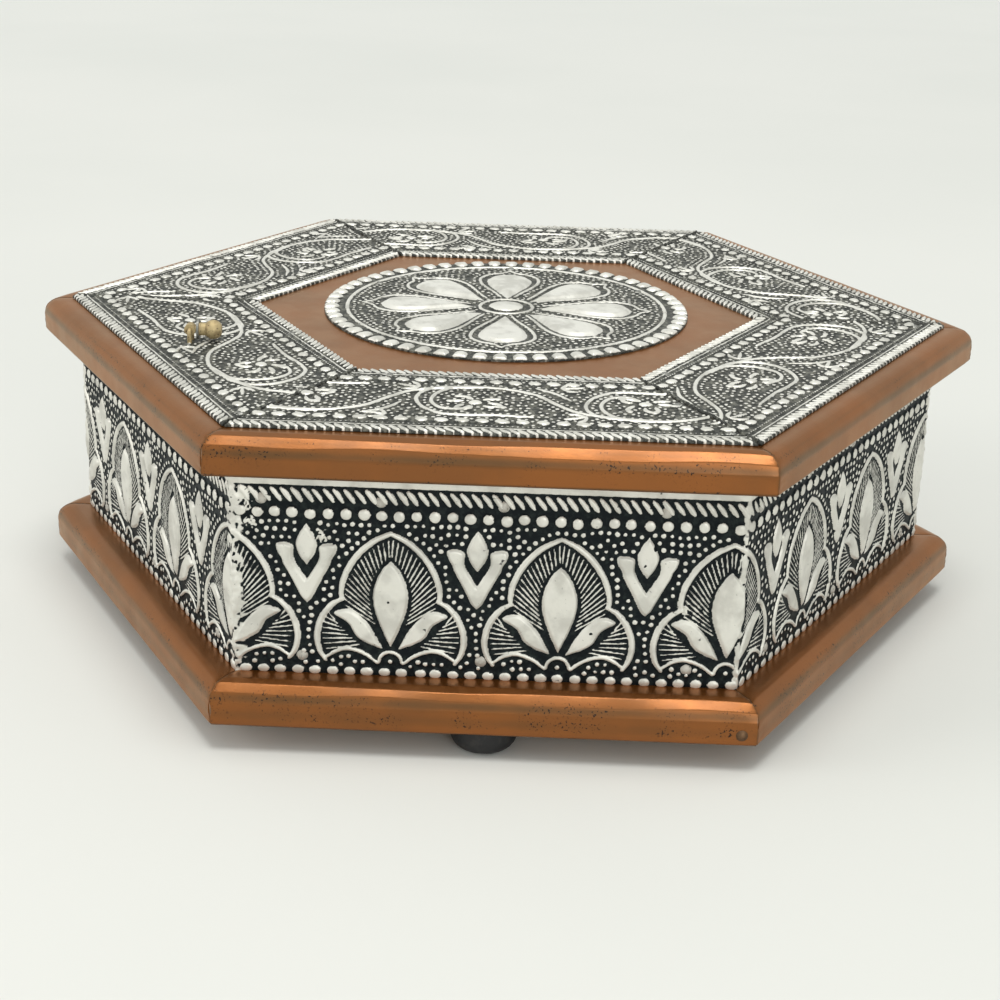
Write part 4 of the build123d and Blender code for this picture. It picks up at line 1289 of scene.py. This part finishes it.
# %% Floor and backdrop
FLOOR_SIZE = 24.0


def seen_rays(tree):
    """1 for rays that show the background, and 0 for those that bring light to the box."""
    path = tree.nodes.new("ShaderNodeLightPath").outputs
    seen = path["Is Camera Ray"]
    for kind in ("Is Glossy Ray", "Is Transmission Ray"):
        either = tree.nodes.new("ShaderNodeMath")
        either.operation = "MAXIMUM"
        tree.links.new(seen, either.inputs[0])
        tree.links.new(path[kind], either.inputs[1])
        seen = either.outputs[0]
    return seen


def floor_finish():
    floor = Finish("pale_table", Roughness=0.75, Specular_IOR_Level=0.2)
    tone = floor.ramp(floor.noise(3, 3), 0.3, 0.7)
    seen = seen_rays(floor.tree)
    away = floor.node("ShaderNodeVectorMath", {0: floor.place}, operation="LENGTH").outputs["Value"]
    return floor.use(
        Base_Color=floor.mix(tone, (0.74, 0.75, 0.72, 1), (0.77, 0.775, 0.745, 1)),
        Emission_Color=(0.97, 1.0, 0.95, 1),
        Emission_Strength=floor.math("MULTIPLY", seen, floor.ramp(away, 0.15, 2.2, 0.0, 0.22)),
    )


half = FLOOR_SIZE / 2
floor_mesh = bpy.data.meshes.new("table")
corners = [(-half, -half, 0), (half, -half, 0), (half, half, 0), (-half, half, 0)]
floor_mesh.from_pydata(corners, [], [(0, 1, 2, 3)])
table = bpy.data.objects.new("table", floor_mesh)
bpy.context.scene.collection.objects.link(table)
table.data.materials.append(floor_finish())
print("table:", FLOOR_SIZE, "metres wide")

# %% [markdown]
# ## Surroundings
# The world has two strengths. The lower one lights the box softly from every side. The higher one is what
# the camera and polished metal see, so the background stays pale and the box isn't bleached.

# %% World
WORLD_LIGHT, WORLD_SEEN = 0.62, 0.84
world = bpy.data.worlds.new("surroundings")
bpy.context.scene.world = world
world.use_nodes = True
nodes, links = world.node_tree.nodes, world.node_tree.links
level = nodes.new("ShaderNodeMapRange")
level.inputs["To Min"].default_value = WORLD_LIGHT
level.inputs["To Max"].default_value = WORLD_SEEN
links.new(seen_rays(world.node_tree), level.inputs["Value"])
links.new(level.outputs["Result"], nodes["Background"].inputs["Strength"])
nodes["Background"].inputs["Color"].default_value = (0.96, 0.98, 0.95, 1)
print("world strength:", WORLD_LIGHT, "on the box,", WORLD_SEEN, "behind it")

# %% [markdown]
# ## Lamps
# Wide round lamps give the soft shadows of a studio. They stand well away from the table, so that none of
# them makes a bright spot on it.

# %% Lamps
LAMPS = {
    "top_light": ((0.3, -0.1, 1.9), 0.9, 17.0, (1.0, 0.99, 0.96)),
    "front_light": ((3.6, -0.7, 1.1), 2.1, 31.0, (1.0, 0.99, 0.96)),
    "side_light": ((-1.2, -3.2, 1.4), 2.1, 32.0, (1.0, 0.98, 0.95)),
}
for name, (at_place, size, power, tint) in LAMPS.items():
    lamp = bpy.data.lights.new(name, "AREA")
    lamp.shape, lamp.size, lamp.energy, lamp.color = "DISK", size, power, tint
    holder = bpy.data.objects.new(name, lamp)
    holder.location = at_place
    holder.rotation_euler = (Vector((0, 0, 0.04)) - Vector(at_place)).to_track_quat("-Z", "Y").to_euler()
    bpy.context.scene.collection.objects.link(holder)
    print(name, "at", round(Vector(at_place).length, 2), "metres,", power, "watts")

bpy.context.scene.view_settings.view_transform = "Standard"
